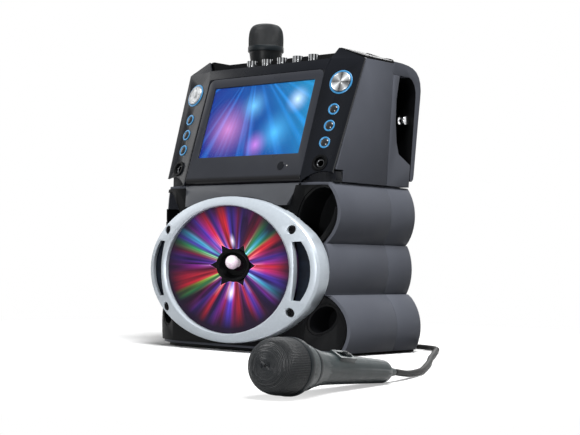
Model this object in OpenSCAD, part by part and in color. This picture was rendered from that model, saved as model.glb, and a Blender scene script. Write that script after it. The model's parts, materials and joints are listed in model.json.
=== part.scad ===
/* [Body] */
// Depth from the centre of the base to the joint between front and rear cabinet
seam_y = 35; // [25:1:45]
// Depth from the centre of the base to the flat rear wall
rear_y = 93; // [86:1:105]
// Front plane of the black baffle, behind the ring
baffle_y = -78; // [-82:1:-74]
// Wall of the moulded cabinets
wall = 3; // [2:0.5:4]
// Thickness of the base tray
base_t = 3; // [2:0.5:5]
// Half width of the bottom lobe at its widest
low_half = 146.5; // [140:0.5:152]
// Half width of the middle lobe at its widest
mid_half = 132.5; // [130.5:0.5:136]
// Half width of the top lobe at its widest
top_half = 136; // [133:0.5:140]
// Curve radius of the bottom lobe
low_r = 49.7; // [46:0.1:60]
// Curve radius of the middle lobe
mid_r = 60; // [50:1:75]
// Curve radius of the top lobe
top_r = 54; // [48:1:64]
// Height of the crease between bottom and middle lobe
crease_1 = 66.7; // [62:0.1:70]
// Height of the crease between middle and top lobe
crease_2 = 123; // [119:0.5:127]
// Height of the top of the body, where the head stands
body_top = 190.5; // [188:0.5:192]

/* [Ring] */
// Height of the centre of the ring
ring_z = 92.2; // [90:0.1:94]
// Half width of the ring
ring_a = 132.2; // [128:0.1:134]
// Half height of the ring
ring_b = 83.3; // [81:0.1:84]
// Half width of the window in the ring
window_a = 96.8; // [92:0.1:98]
// Half height of the window in the ring
window_b = 72.7; // [70:0.1:73]
// Front of the ring's crest
crest_y = -98.3; // [-101:0.1:-97]
// Depth of the hollow cone of the light reflector
dish_depth = 10; // [7:0.5:11]
// Half width of the hub in the reflector
hub_a = 26; // [22:0.5:30]
// Half height of the hub in the reflector
hub_b = 18.8; // [15:0.2:22]
// Radius of the clear ball over the lamps
ball_r = 8; // [6:0.5:9]

/* [Head] */
// Half width of the head at its foot
head_foot = 128; // [125:0.5:131]
// Half width of the head at its shoulders
head_half = 136.5; // [133:0.5:140]
// Height of the shoulders at the sides
shoulder_z = 334; // [330:1:338]
// Height of the ridge inside each shoulder
ridge_z = 346; // [342:1:350]
// Distance of that ridge from the middle
ridge_x = 102; // [98:1:106]
// Height of the head's foot above the ground
head_z = 191.5; // [191.1:0.1:193]
// How far the face leans back, in degrees
lean = 17.8; // [15:0.1:20]
// How far each side column is swept back, in degrees
sweep = 10.3; // [8:0.1:12]

/* [Door] */
// Half width of the disc door
door_half = 90; // [86:0.5:90]
// Height of the disc door along its slope, above the screen's lower edge
door_top = 100.2; // [98:0.1:104]
// Reach of the disc door below the screen's lower edge
door_low = 35.3; // [34:0.1:37]
// Thickness of the disc door
door_t = 9.4; // [8:0.1:11]
// Width of the picture
screen_w = 154; // [140:1:160]
// Height of the picture
screen_h = 86.6; // [80:0.1:92]
// Running gap round the door
door_gap = 0.4; // [0.3:0.1:0.8]
// Radius of the hinge pins
hinge_r = 1.5; // [1:0.1:2]

/* [Controls] */
// Radius of the two round dials
dial_r = 12; // [10:0.5:12.5]
// Radius of the small buttons
button_r = 4.7; // [4:0.1:5.5]
// Clearance round dials and buttons
key_gap = 0.3; // [0.2:0.05:0.5]
// Radius of the knobs on top
knob_r = 6.3; // [5:0.1:8]
// Height of the knobs on top
knob_h = 13.6; // [11:0.1:14]
// Spacing of the knobs on top
knob_step = 24.4; // [20:0.1:25]
// Number of knobs on top, one node for each
KNOBS = 5; // [5]
// Radius of the bore in the microphone sockets
jack_r = 3.2; // [3.2]

/* [Disc deck] */
// Radius of the disc well
well_r = 61; // [60.5:0.5:63]
// Radius of the turntable
table_r = 15; // [12:0.5:17]
// Radius of the turntable's shaft
shaft_r = 1.5; // [1:0.1:2]

/* [Microphones] */
// Radius of the microphone's grille band
mic_r = 22.8; // [21:0.1:24]
// Length of the microphone without its strain relief
mic_len = 188; // [180:1:190]
// Radius of the microphone's tail end
tail_r = 10; // [9:0.5:12]
// Clearance between a stored microphone and its cup
cup_gap = 0.35; // [0.3:0.05:0.6]

/* [Microphone lead] */
// Diameter of the lead
cord_d = 6; // [6]
// Number of turns in one layer of the stored coil
coil_turns = 3.75; // [2.75:1:5.75]
// Middle radius of the turns in the stored coil
coil_mid_r = 36; // [34:1:44]

/* [Hidden] */
eps = 0.01;
fit_gap = 0.3;

// Face plane: its origin is the middle of the picture's lower edge
face_y = -64.4;
face_z = 225.9;
col_x = door_half + door_gap;
face_top = 112.7;
hinge_s = -door_low + door_t / 2;
DIAL_S = 83.6;
DIAL_X = 24.8;
BUTTON_S = [50.7, 30.8, 10.6];
BUTTON_X = [23.2, 22.5, 21.3];
JACK_S = -13.5;
JACK_X = 21;
plate_t = 2.6;
board_n = -8;

// Stored microphone, seated in the left cup
stored_x = -88.5;
stored_y = 63;
cup_rise = 9;
cup_z = shoulder_z + cup_rise;
stored_proud = 61;
stored_top = cup_z + stored_proud;

// Microphone lying in front
lying_x = 385;
lying_y = -452;
lying_turn = 99;

black = [0.05, 0.05, 0.06];
satin = [0.27, 0.28, 0.31];
silver = [0.72, 0.75, 0.79];
chrome = [0.8, 0.8, 0.82];
blue = [0.25, 0.6, 0.95];

// Helpers

// Extrudes a flat outline of x and z between two depths
module along_y(y0, y1) {
    translate([0, y1, 0])
        rotate([90, 0, 0])
            linear_extrude(height = y1 - y0)
                children();
}

// Extrudes a flat outline of y and z between two widths
module along_x(x0, x1) {
    translate([x0, 0, 0])
        rotate([90, 0, 90])
            linear_extrude(height = x1 - x0)
                children();
}

// Puts children on the leaning face: x across, y up the slope, z outwards
module on_face() {
    translate([0, face_y, face_z])
        rotate([90 - lean, 0, 0])
            children();
}

// Puts children on a swept column, side 1 is the right one
module on_column(side) {
    mirror([side < 0 ? 1 : 0, 0, 0])
        on_face()
            translate([col_x, 0, 0])
                rotate([0, sweep, 0])
                    children();
}

// Both mirror images
module both_sides() {
    children();
    mirror([1, 0, 0])
        children();
}

function oval(a, b, n = 48) = [for (i = [0 : n - 1]) [a * cos(360 * i / n), b * sin(360 * i / n)]];

// One closed ring of an oval loft in the x-z plane
function oval_ring(a, b, y, z, n) =
    [for (i = [0 : n - 1]) [a * cos(360 * i / n), y, z + b * sin(360 * i / n)]];

// Skins a list of closed rings; a wrapped skin joins its last ring to its first
module skin(rings, wrapped = false) {
    n = len(rings[0]);
    m = len(rings);
    points = [for (r = rings) for (p = r) p];
    last = wrapped ? m - 1 : m - 2;
    sides = [for (j = [0 : last]) for (i = [0 : n - 1])
        let (k = (j + 1) % m, l = (i + 1) % n)
        each wrapped
            ? [[j * n + i, k * n + l, j * n + l], [j * n + i, k * n + i, k * n + l]]
            : [[j * n + i, j * n + l, k * n + l], [j * n + i, k * n + l, k * n + i]]];
    caps = wrapped ? [] : [
        [for (i = [n - 1 : -1 : 0]) i],
        [for (i = [0 : n - 1]) (m - 1) * n + i]
    ];
    polyhedron(points = points, faces = concat(sides, caps), convexity = 8);
}

// Cabinet outlines

// A lobe between two heights; inset draws its walls in
module lobe(half, r, mid_z, z0, z1, inset) {
    intersection() {
        union() {
            for (s = [-1, 1])
                translate([s * (half - r), mid_z])
                    circle(r = r - inset, $fn = 96);
            translate([-(half - r), mid_z - r])
                square([2 * (half - r), 2 * r]);
        }
        translate([-half, z0])
            square([2 * half, z1 - z0]);
    }
}

low_mid = 28;
mid_mid = (crease_1 + crease_2) / 2;
top_mid = (crease_2 + body_top) / 2 + 1;

module body_outline(inset) {
    lobe(low_half, low_r, low_mid, base_t + inset, crease_1, inset);
    lobe(mid_half, mid_r, mid_mid, crease_1 - eps, crease_2 + eps, inset);
    lobe(top_half, top_r, top_mid, crease_2, body_top - inset, inset);
}

// Plan line of the black front, from the middle to the right
FRONT_LINE = [[101, 0], [124, 9], [136, 16.5], [150, 26]];

// Plan of all that lies in front of the lobes' front ends
module front_cut(back) {
    line = [for (p = FRONT_LINE) [p[0], baffle_y + back + p[1]]];
    both_sides()
        polygon(concat([[0, -120], [0, baffle_y + back]], line, [[150, -120]]));
}

// Head section: x and z
module head_outline(inset) {
    w0 = head_foot - inset;
    w1 = head_half - inset;
    polygon([[-w0, head_z + inset], [w0, head_z + inset], [w1, shoulder_z], [ridge_x, ridge_z],
        [-ridge_x, ridge_z], [-w1, shoulder_z]]);
}

module base_tray() {
    color(black)
        difference() {
            linear_extrude(height = base_t)
                polygon([[-101, baffle_y + 4], [101, baffle_y + 4], [122, baffle_y + 15], [131, baffle_y + 34],
                    [131, rear_y - 4], [-131, rear_y - 4], [-131, baffle_y + 34], [-122, baffle_y + 15]]);
            for (x = PAD_X, y = PAD_Y)
                translate([x, y, -1])
                    cylinder(r = pad_r + fit_gap, h = pad_t + 1, $fn = 48);
        }
}

// Rubber pads, flush in pockets of the tray
PAD_X = [-105, 105];
PAD_Y = [-42, 70];
pad_r = 9;
pad_t = 1.4;

module base_pads() {
    color([0.1, 0.1, 0.1])
        for (x = PAD_X, y = PAD_Y)
            translate([x, y, 0])
                cylinder(r = pad_r, h = pad_t, $fn = 48);
}

module front_cabinet() {
    mid_front = baffle_y + 8.4;
    color(satin)
        difference() {
            along_y(mid_front, seam_y - 0.15)
                body_outline(0);
            along_y(mid_front - 1, seam_y + 1)
                body_outline(wall);
            lower_seat();
            for (zz = [[-1, crease_1 - 0.4], [crease_2 + 0.4, body_top + 1]])
                translate([0, 0, zz[0]])
                    linear_extrude(height = zz[1] - zz[0])
                        front_cut(4);
        }
}

// The rear cabinet's rounded end of one lobe
module lobe_end(half, r, mid_z, z0, z1, depth, draw) {
    hull() {
        along_y(rear_y - depth - 1, rear_y - depth)
            lobe_coarse(half, r, mid_z, z0, z1, 0.05);
        along_y(rear_y - 1, rear_y)
            lobe_coarse(half, r, mid_z, z0 + draw * 0.5, z1 - draw * 0.5, draw);
    }
}

module lobe_coarse(half, r, mid_z, z0, z1, inset) {
    n = 10;
    right = [for (i = [0 : n]) let (z = z0 + (z1 - z0) * i / n)
        [half - r + sqrt(pow(r, 2) - pow(z - mid_z, 2)) - inset, z]];
    left = [for (i = [n : -1 : 0]) [-right[i][0], right[i][1]]];
    polygon(concat(right, left));
}

module rear_cabinet() {
    depth = 13;
    color(satin)
        difference() {
            union() {
                along_y(seam_y + 0.15, rear_y - depth)
                    body_outline(0);
                lobe_end(low_half, low_r, low_mid, base_t, crease_1, depth, 9);
                lobe_end(mid_half, mid_r, mid_mid, crease_1, crease_2, depth, 9);
                lobe_end(top_half, top_r, top_mid, crease_2, body_top, depth, 9);
            }
            along_y(seam_y - 1, rear_y - depth - 2)
                body_outline(wall);
            for (zz = [[90, crease_2 - 8], [crease_2 + 8, 170]])
                translate([-88, rear_y - depth - 3, zz[0]])
                    cube([176, depth, zz[1] - zz[0]]);
            translate([-80, rear_y - 4, 40])
                cube([66, 5, 34]);
            translate([-76, rear_y - depth - 3, 43.5])
                cube([58, depth, 27]);
            for (i = [0 : 6])
                translate([20, rear_y - depth - 3, 36 + i * 6])
                    cube([70, depth + 4, 2.6]);
        }
}

// Port mouth: an oval leaning outwards
PORTS = [[112, 153, 36, 20, 22], [122, 40, 19, 14, 40]];

module port_mouth(p, grow, y0, y1) {
    translate([0, 0, p[1]])
        along_y(y0, y1)
            translate([p[0], 0])
                rotate(-p[4])
                    polygon(oval(p[3] + grow, p[2] + grow, 40));
}

module front_baffle() {
    color(black)
        difference() {
            intersection() {
                linear_extrude(height = body_top)
                    difference() {
                        translate([-146, baffle_y - 1])
                            square([292, 48]);
                        front_cut(0);
                        translate([0, 3.2])
                            baffle_back();
                    }
                along_y(baffle_y - 2, baffle_y + 60)
                    intersection() {
                        body_outline(wall + fit_gap);
                        translate([-200, base_t + eps])
                            square([400, body_top - base_t - 2]);
                    }
            }
            translate([0, 0, ring_z])
                rotate([90, 0, 0])
                    cylinder(r = 58, h = 200, center = true, $fn = 96);
            lower_seat();
            both_sides()
                for (p = PORTS)
                    port_mouth(p, 0.3, baffle_y - 2, baffle_y + 60);
        }
}

// The region behind the baffle's rear skin
module baffle_back() {
    line = [for (p = FRONT_LINE) [p[0] - 1.5, baffle_y + p[1]]];
    both_sides()
        polygon(concat([[-eps, baffle_y], [100, baffle_y]], line, [[150, baffle_y + 60], [-eps, baffle_y + 60]]));
}

// A funnel behind each port mouth
module port_cups() {
    color(black)
        both_sides()
            for (p = PORTS) {
                y0 = baffle_y + 18;
                difference() {
                    intersection() {
                        port_mouth(p, 0, y0, y0 + 22);
                        along_y(y0, y0 + 22)
                            body_outline(wall + fit_gap);
                    }
                    port_mouth(p, -2.5, y0 - 1, y0 + 19);
                }
                difference() {
                    intersection() {
                        port_mouth(p, 0, baffle_y - 1, y0 + eps);
                        along_y(baffle_y - 1, y0 + 1)
                            body_outline(wall + fit_gap);
                        linear_extrude(height = body_top)
                            difference() {
                                translate([0, baffle_y - 1])
                                        square([150, 40]);
                                    front_cut(0.8);
                                }
                    }
                    port_mouth(p, -2.5, baffle_y - 2, y0 + 1);
                }
            }
}

// Front face of the baffle at a place across, and the back of the ring just before it
function front_y(x) = baffle_y + lookup(abs(x), FRONT_LINE);
function ring_back(x, side) = min(-84.2 + 14.2 * side, front_y(x) - 0.4);

module ring_bezel() {
    n = 72;
    // Section stations: share of the way from window to rim, and depth
    skin_t = 2.4;
    rings = [for (q = [9 : -1 : 0]) [for (i = [0 : n - 1])
        let (
            t = 360 * i / n,
            side = pow(abs(cos(t)), 1.5),
            share = [0, 0, 0.10, 0.5, 0.94, 1, 1, 0.94, 0.9, 0.5][q],
            inward = [0, 0, 0, 0, 0, 0, -0.3, 0, 0, 0][q],
            fall = 5 + 5 * side,
            a = window_a + (ring_a - window_a) * share + inward,
            back = ring_back(a * cos(t), side),
            y = [crest_y + 8, crest_y + 1.6, crest_y, crest_y + fall * 0.36, crest_y + fall * 0.86,
                crest_y + fall + 1.6, back, back, crest_y + fall + skin_t + 1, crest_y + fall * 0.36 + skin_t][q],
            b = window_b + (ring_b - window_b) * share + inward
        )
        [a * cos(t), y, ring_z + b * sin(t)]]];
    color(silver)
        difference() {
            union() {
                skin(rings, true);
                for (x = [-SCREW_X, SCREW_X], z = [-SCREW_Z, SCREW_Z])
                    translate([x, baffle_y, ring_z + z])
                        rotate([90, 0, 0])
                            cylinder(r = 7.2, h = 14.3, $fn = 32);
            }
            both_sides()
                along_y(crest_y - 5, baffle_y)
                    polygon(SLOT);
            for (x = [-SCREW_X, SCREW_X], z = [-SCREW_Z, SCREW_Z])
                translate([x, baffle_y, ring_z + z])
                    rotate([90, 0, 0]) {
                        translate([0, 0, 12])
                            cylinder(r = 5.2, h = 20, $fn = 32);
                        translate([0, 0, -1])
                            cylinder(r = 2.3, h = 20, $fn = 32);
                    }
        }
}

SCREW_X = 96.7;
SCREW_Z = 45.1;
SLOT = concat(
    [for (i = [-6 : 6]) let (u = i / 6) [103.5 - 4.2 * pow(u, 2), ring_z + 32 * u]],
    [for (i = [6 : -1 : -6]) let (u = i / 6) [123 - 13 * pow(abs(u), 2.2), ring_z + 32.5 * u]]
);

module ring_screws() {
    color([0.12, 0.12, 0.13])
        for (x = [-SCREW_X, SCREW_X], z = [-SCREW_Z, SCREW_Z])
            translate([x, baffle_y, ring_z + z])
                rotate([90, 0, 0]) {
                    cylinder(r = 2, h = 12, $fn = 32);
                    difference() {
                        translate([0, 0, 12])
                            cylinder(r = 4.6, h = 3, $fn = 32);
                        for (a = [0, 90])
                            rotate(a)
                                translate([-3, -0.5, 13.4])
                                    cube([6, 1, 2]);
                    }
                }
}

module slot_meshes() {
    color([0.08, 0.09, 0.11])
        both_sides()
            along_y(crest_y + 11.35, crest_y + 13.5)
                intersection() {
                    offset(delta = 1.6)
                        polygon(SLOT);
                    translate([0, ring_z - 50])
                        square([ring_a - 4, 100]);
                }
}

module reflector_dish() {
    n = 60;
    hub_z = 4.9;
    function r(share, y, drop) =
        oval_ring(window_a * share, window_b * share, y, ring_z + hub_z * drop, n);
    function h(grow, y) = oval_ring(hub_a + grow, hub_b + grow, y, ring_z + hub_z, n);
    rim_y = crest_y + 5.4;
    color([0.25, 0.1, 0.3])
        skin([
            r(0.99, baffle_y - 0.1, 0), r(0.99, rim_y, 0), r(0.97, rim_y, 0),
            r(0.8, rim_y + dish_depth * 0.22, 0.2), r(0.6, rim_y + dish_depth * 0.48, 0.5),
            r(0.42, rim_y + dish_depth * 0.74, 0.8), h(0.4, rim_y + dish_depth),
            h(0.4, rim_y + dish_depth + 2), r(0.6, rim_y + dish_depth * 0.5 + 2.4, 0.5),
            r(0.95, rim_y + 3.2, 0), r(0.96, baffle_y - 0.1, 0)
        ], true);
}

module led_hub() {
    n = 48;
    z = ring_z + 4.9;
    y0 = crest_y + 5.4 + dish_depth - 1.4;
    color(black)
        skin([
            oval_ring(hub_a, hub_b, y0 + 8, z, n), oval_ring(hub_a, hub_b, y0, z, n),
            oval_ring(hub_a - 2, hub_b - 2, y0 - 0.6, z, n), oval_ring(hub_a - 4, hub_b - 4, y0 + 1, z, n),
            oval_ring(hub_a - 8, hub_b - 7, y0 + 8.4, z, n), oval_ring(9, 6.5, y0 + 8.4, z, n),
            oval_ring(9, 6.5, y0 + 11, z, n), oval_ring(hub_a - 3, hub_b - 3, y0 + 11, z, n)
        ], true);
}

module led_lens() {
    z = ring_z + 4.9;
    y = crest_y + 5.4 + dish_depth - 1.4 + 8.4;
    color([0.95, 0.9, 0.95]) {
        translate([0, y, z + 3])
            rotate([90, 0, 0])
                cylinder(r = 5, h = 4, $fn = 32);
        translate([0, y - 4 - ball_r * 0.6, z + 3.6])
            sphere(r = ball_r, $fn = 48);
    }
}

module woofer_frame() {
    color([0.18, 0.18, 0.2])
        translate([0, baffle_y + 3.25, ring_z])
            rotate([-90, 0, 0])
                difference() {
                    rotate_extrude($fn = 96)
                        polygon([[58, 0], [66, 0], [66, 3], [60, 3], [46, 34], [30, 34], [30, 31], [43.5, 31], [57, 1.5]]);
                    for (a = [0 : 60 : 300])
                        rotate(a)
                            translate([40, -9, 6])
                                cube([30, 18, 22]);
                }
}

module woofer_cone() {
    color([0.1, 0.1, 0.1])
        translate([0, baffle_y + 3.25, ring_z])
            rotate([-90, 0, 0])
                rotate_extrude($fn = 96)
                    polygon([[14, 22], [50, 4], [53, 2], [56, 1.9], [55.6, 3.2], [53.5, 4.4], [50.5, 6], [16, 25.8], [12, 33.8], [10, 33.8], [10, 24]]);
}

module woofer_magnet() {
    color([0.3, 0.3, 0.32])
        translate([0, baffle_y + 3.25 + 34, ring_z])
            rotate([-90, 0, 0])
                difference() {
                    union() {
                        cylinder(r = 38, h = 3, $fn = 96);
                        translate([0, 0, 3])
                            cylinder(r = 45, h = 16, $fn = 96);
                        translate([0, 0, 19])
                            cylinder(r = 40, h = 4, $fn = 96);
                    }
                    translate([0, 0, -1])
                        cylinder(r = 5, h = 30, $fn = 48);
                }
}

LOWER_TOP = 189.8;
LOWER_FOOT = 165;

// Space that the lower panel takes out of the baffle
module lower_seat() {
    intersection() {
        along_x(-100, 100)
            polygon([[-110, LOWER_FOOT - 0.3], [-74.7, LOWER_FOOT - 0.3], [-69.5, LOWER_TOP + 0.3], [-69.5, 200], [-110, 200]]);
        along_y(-110, -60)
            polygon([[-90, LOWER_TOP + 3], [90, LOWER_TOP + 3], [79.3, LOWER_FOOT - 2], [-79.3, LOWER_FOOT - 2]]);
    }
}

module lower_panel() {
    y1 = -72.9;
    y0 = -83.5;
    color([0.32, 0.33, 0.35])
        difference() {
            intersection() {
                along_x(-100, 100)
                    polygon([[y1, LOWER_TOP], [y0, LOWER_FOOT], [y0 + 8.5, LOWER_FOOT], [y1 + 3, LOWER_TOP]]);
                along_y(-100, -60)
                    polygon([[-89.5, LOWER_TOP + 1], [89.5, LOWER_TOP + 1], [79, LOWER_FOOT - 1], [-79, LOWER_FOOT - 1]]);
            }
            translate([0, 0, ring_z])
                along_y(-100, -78.5)
                    polygon(oval(ring_a + 0.35, ring_b + 0.35, 72));
        }
}

// Column plate, in its own frame, before its holes
module column_plate() {
    edge = head_half - 88.5;
    difference() {
        polygon([[0.5, -36.3], [edge - 2, -36.3], [edge - 8.7, -22.6], [edge, 113.5], [edge - 35.8, 126.2], [4, face_top - 0.8],
            [0.5, face_top - 13.1]]);
        translate([31, -61.5])
            circle(r = 38.5, $fn = 72);
    }
}

// Return of the fascia under the head, over each port
SKIRT = [[90.8, -69.4], [104, -68.5], [120, -64.5], [127.6, -57], [127.6, -46]];

module fascia() {
    color(black)
        difference() {
            union() {
                on_face()
                    translate([0, 0, -plate_t])
                        linear_extrude(height = plate_t)
                            difference() {
                                both_sides()
                                    polygon([[-1, 88], [col_x + 1.7, 88], [col_x + 1.7, face_top - 12],
                                        [col_x + 5.2, face_top], [-1, face_top]]);
                                round_top(col_x, door_top + door_gap, 8);
                            }
                for (side = [-1, 1])
                    on_column(side)
                        difference() {
                            translate([0, 0, -plate_t])
                                linear_extrude(height = plate_t)
                                    column_plate();
                            translate([DIAL_X, DIAL_S, -10])
                                cylinder(r = dial_r + key_gap, h = 20, $fn = 72);
                            for (i = [0 : 2])
                                translate([BUTTON_X[i], BUTTON_S[i], -10])
                                    cylinder(r = button_r + key_gap, h = 20, $fn = 48);
                            translate([JACK_X, JACK_S, -10])
                                cylinder(r = 8.6, h = 20, $fn = 48);
                        }
                both_sides()
                    translate([0, 0, head_z - 0.6])
                        linear_extrude(height = 202.6 - head_z + 0.6)
                            polygon(concat(SKIRT, [for (i = [4 : -1 : 0]) SKIRT[i] + [i == 4 ? -3 : i == 0 ? 0 : -1.6, i == 4 ? 0 : 2.6]]));
                both_sides()
                    on_face()
                        translate([col_x + 0.3, hinge_s - 2.2, -door_t])
                            cube([4.4, 8, door_t - 1.5]);
            }
            on_face()
                for (s = [-1, 1])
                    translate([s * 92 - 4, hinge_s, -door_t / 2])
                        rotate([0, 90, 0])
                            cylinder(r = hinge_r + 0.02, h = 8, $fn = 48);
        }
}

// Door outline: square feet and round upper corners
module round_top(half, top, r) {
    hull() {
        translate([-half, -door_low - 20])
            square([2 * half, 20]);
        for (s = [-1, 1])
            translate([s * (half - r), top - r])
                circle(r = r, $fn = 32);
    }
}

module head_front_shell() {
    front = [[-15.2, 343], [-57.6, 204.5], [-44.5, 204.5], [-44.5, head_z], [seam_y - 0.15, head_z], [seam_y - 0.15, 343]];
    color(satin)
        difference() {
            intersection() {
                along_y(-80, seam_y)
                    head_outline(0);
                along_x(-160, 160)
                    polygon(front);
            }
            along_y(-90, seam_y + 1)
                offset(delta = -wall)
                    polygon([[-head_foot, head_z], [head_foot, head_z], [head_half, shoulder_z],
                        [head_half + 1, 420], [-head_half - 1, 420], [-head_half, shoulder_z]]);
            translate([-200, -90, shoulder_z - 2.4])
                cube([400, 200, 60]);
        }
}

module top_deck() {
    t = 2.4;
    y0 = -19;
    shelf_z = 328;
    shelf_back = 8;
    slot_x = 58;
    color(black)
        difference() {
            union() {
                along_y(y0, seam_y - 0.15)
                    polygon([[-head_half + 0.3, shoulder_z - t + 0.1], [-head_half + 0.3, shoulder_z],
                        [-ridge_x, ridge_z], [ridge_x, ridge_z],
                        [head_half - 0.3, shoulder_z], [head_half - 0.3, shoulder_z - t + 0.1],
                        [ridge_x, ridge_z - t], [-ridge_x, ridge_z - t]]);
                translate([-ridge_x + 1, y0, shelf_z - t])
                    cube([2 * ridge_x - 2, shelf_back + t - y0, ridge_z - shelf_z + t - 0.5]);
                translate([slot_x - t, 12, 318])
                    cube([62 + 2 * t, 14 + 2 * t, 18.5]);
            }
            translate([-ridge_x + 1 + t, y0 - 1, shelf_z])
                cube([2 * ridge_x - 2 - 2 * t, shelf_back - y0 + 1, 30]);
            translate([slot_x, 12 + t, 318 + t])
                cube([62, 14, 40]);
            for (i = [0 : KNOBS - 1])
                translate([(i - 2) * knob_step, KNOB_Y, shelf_z - 10])
                    cylinder(r = 3.6, h = 20, $fn = 48);
        }
}

KNOB_Y = -4.9;
KNOB_Z = 331;

module knob(i) {
    ribs = 18;
    color(chrome)
        translate([(i - 3) * knob_step, KNOB_Y, KNOB_Z])
            difference() {
                union() {
                    linear_extrude(height = knob_h - 1)
                        polygon([for (k = [0 : 2 * ribs - 1]) let (a = 180 * k / ribs, q = k % 2 == 0 ? knob_r : knob_r - 0.7)
                            [q * cos(a), q * sin(a)]]);
                    cylinder(r = knob_r - 0.8, h = knob_h, $fn = 48);
                }
                translate([0, 0, -1])
                    cylinder(r = 3.05, h = 9, $fn = 48);
                translate([-0.5, -knob_r, knob_h - 1.2])
                    cube([1, knob_r, 2]);
            }
}

module circuit_boards() {
    color([0.1, 0.35, 0.15]) {
        for (side = [-1, 1])
            on_column(side) {
                translate([10, -2, board_n])
                    cube([25, 102, 1.6]);
                for (y = [68, 0.6])
                    translate([13, y, board_n + 1.5])
                        cylinder(r = 2.2, h = -plate_t - board_n - 1.5, $fn = 24);
            }
        difference() {
            union() {
                translate([-60, -12, 316])
                    cube([120, 15, 1.6]);
                for (i = [0 : KNOBS - 1])
                    translate([(i - 2) * knob_step, KNOB_Y, 317.5]) {
                        cylinder(r = 6, h = 7.9, $fn = 48);
                        cylinder(r = 3, h = KNOB_Z + 7.4 - 317.5, $fn = 48);
                    }
            }
        }
        translate([-90, -2, base_t + wall + 6])
            cube([110, 70, 1.6]);
        for (x = [-84, 14], y = [4, 62])
            translate([x, y, base_t + wall])
                cylinder(r = 3, h = 6.1, $fn = 24);
    }
}

module dial(side) {
    color(chrome)
        on_column(side)
            translate([DIAL_X, DIAL_S, -4])
                union() {
                    cylinder(r = dial_r, h = 5, $fn = 72);
                    translate([0, 0, 5])
                        cylinder(r1 = dial_r, r2 = dial_r - 1, h = 1, $fn = 72);
                }
}

module light_rings() {
    color(blue)
        for (side = [-1, 1])
            on_column(side) {
                ring_at(DIAL_X, DIAL_S, dial_r + key_gap, 2.1);
                for (i = [0 : 2])
                    ring_at(BUTTON_X[i], BUTTON_S[i], button_r + key_gap, 1.8);
            }
}

module ring_at(x, y, r, w) {
    translate([x, y, 0])
        difference() {
            cylinder(r = r + w, h = 0.6, $fn = 72);
            translate([0, 0, -1])
                cylinder(r = r, h = 3, $fn = 72);
        }
}

module button(side, i) {
    color(black)
        on_column(side)
            translate([BUTTON_X[i], BUTTON_S[i], -4])
                union() {
                    cylinder(r = button_r, h = 4.8, $fn = 48);
                    translate([0, 0, 4.8])
                        cylinder(r1 = button_r, r2 = button_r - 1.2, h = 1, $fn = 48);
                }
}

module mic_jacks() {
    color(black)
        for (side = [-1, 1])
            on_column(side)
                translate([JACK_X, JACK_S, 0])
                    difference() {
                        union() {
                            translate([0, 0, -16])
                                cylinder(r = 8.3, h = 16.8, $fn = 48);
                            cylinder(r = 9.6, h = 1.2, $fn = 48);
                        }
                        translate([0, 0, -3])
                            cylinder(r = 6.4, h = 6, $fn = 48);
                        translate([0, 0, -14])
                            cylinder(r = jack_r, h = 20, $fn = 48);
                    }
}

module door_frame() {
    pocket_w = screen_w + 4;
    pocket_h = screen_h + 4;
    color(black)
        on_face()
            difference() {
                union() {
                    translate([0, 0, -door_t])
                        linear_extrude(height = door_t)
                            intersection() {
                                round_top(door_half, door_top, 8);
                                translate([-door_half, hinge_s])
                                    square([2 * door_half, 200]);
                            }
                    translate([-door_half, hinge_s, -door_t / 2])
                        rotate([0, 90, 0])
                            cylinder(r = door_t / 2, h = 2 * door_half, $fn = 64);
                    translate([78, 90, -door_t - 4])
                        cube([8, 6, 5]);
                }
                translate([-pocket_w / 2, -2, -door_t + 2])
                    cube([pocket_w, pocket_h, door_t]);
                for (s = [-1, 1])
                    translate([s * (door_half - 6) - 7, hinge_s, -door_t / 2])
                        rotate([0, 90, 0])
                            cylinder(r = hinge_r + 0.05, h = 14, $fn = 48);
            }
}

module lcd_panel() {
    color([0.15, 0.35, 0.8])
        on_face()
            translate([-screen_w / 2 - 1.7, -1.7, -door_t + 2])
                cube([screen_w + 3.4, screen_h + 3.4, 5.4]);
}

module screen_glass() {
    color([0.1, 0.2, 0.5])
        on_face()
            translate([-screen_w / 2 - 1.7, -1.7, -2])
                cube([screen_w + 3.4, screen_h + 3.4, 1.7]);
}

module hinge_pins() {
    color(chrome)
        on_face()
            for (s = [-1, 1])
                translate([s > 0 ? door_half - 11 : -col_x - 4, hinge_s, -door_t / 2])
                    rotate([0, 90, 0])
                        cylinder(r = hinge_r, h = 15.4 - door_gap + 0.0, $fn = 48);
}

deck_n = -14.5;

module door_latch() {
    color([0.85, 0.85, 0.85])
        on_face()
            translate([82, 93, deck_n - 6])
                union() {
                    cylinder(r = 2.5, h = -door_t - 4 - fit_gap - deck_n + 6, $fn = 32);
                    cylinder(r = 3.6, h = 2.4, $fn = 32);
                }
}

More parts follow.
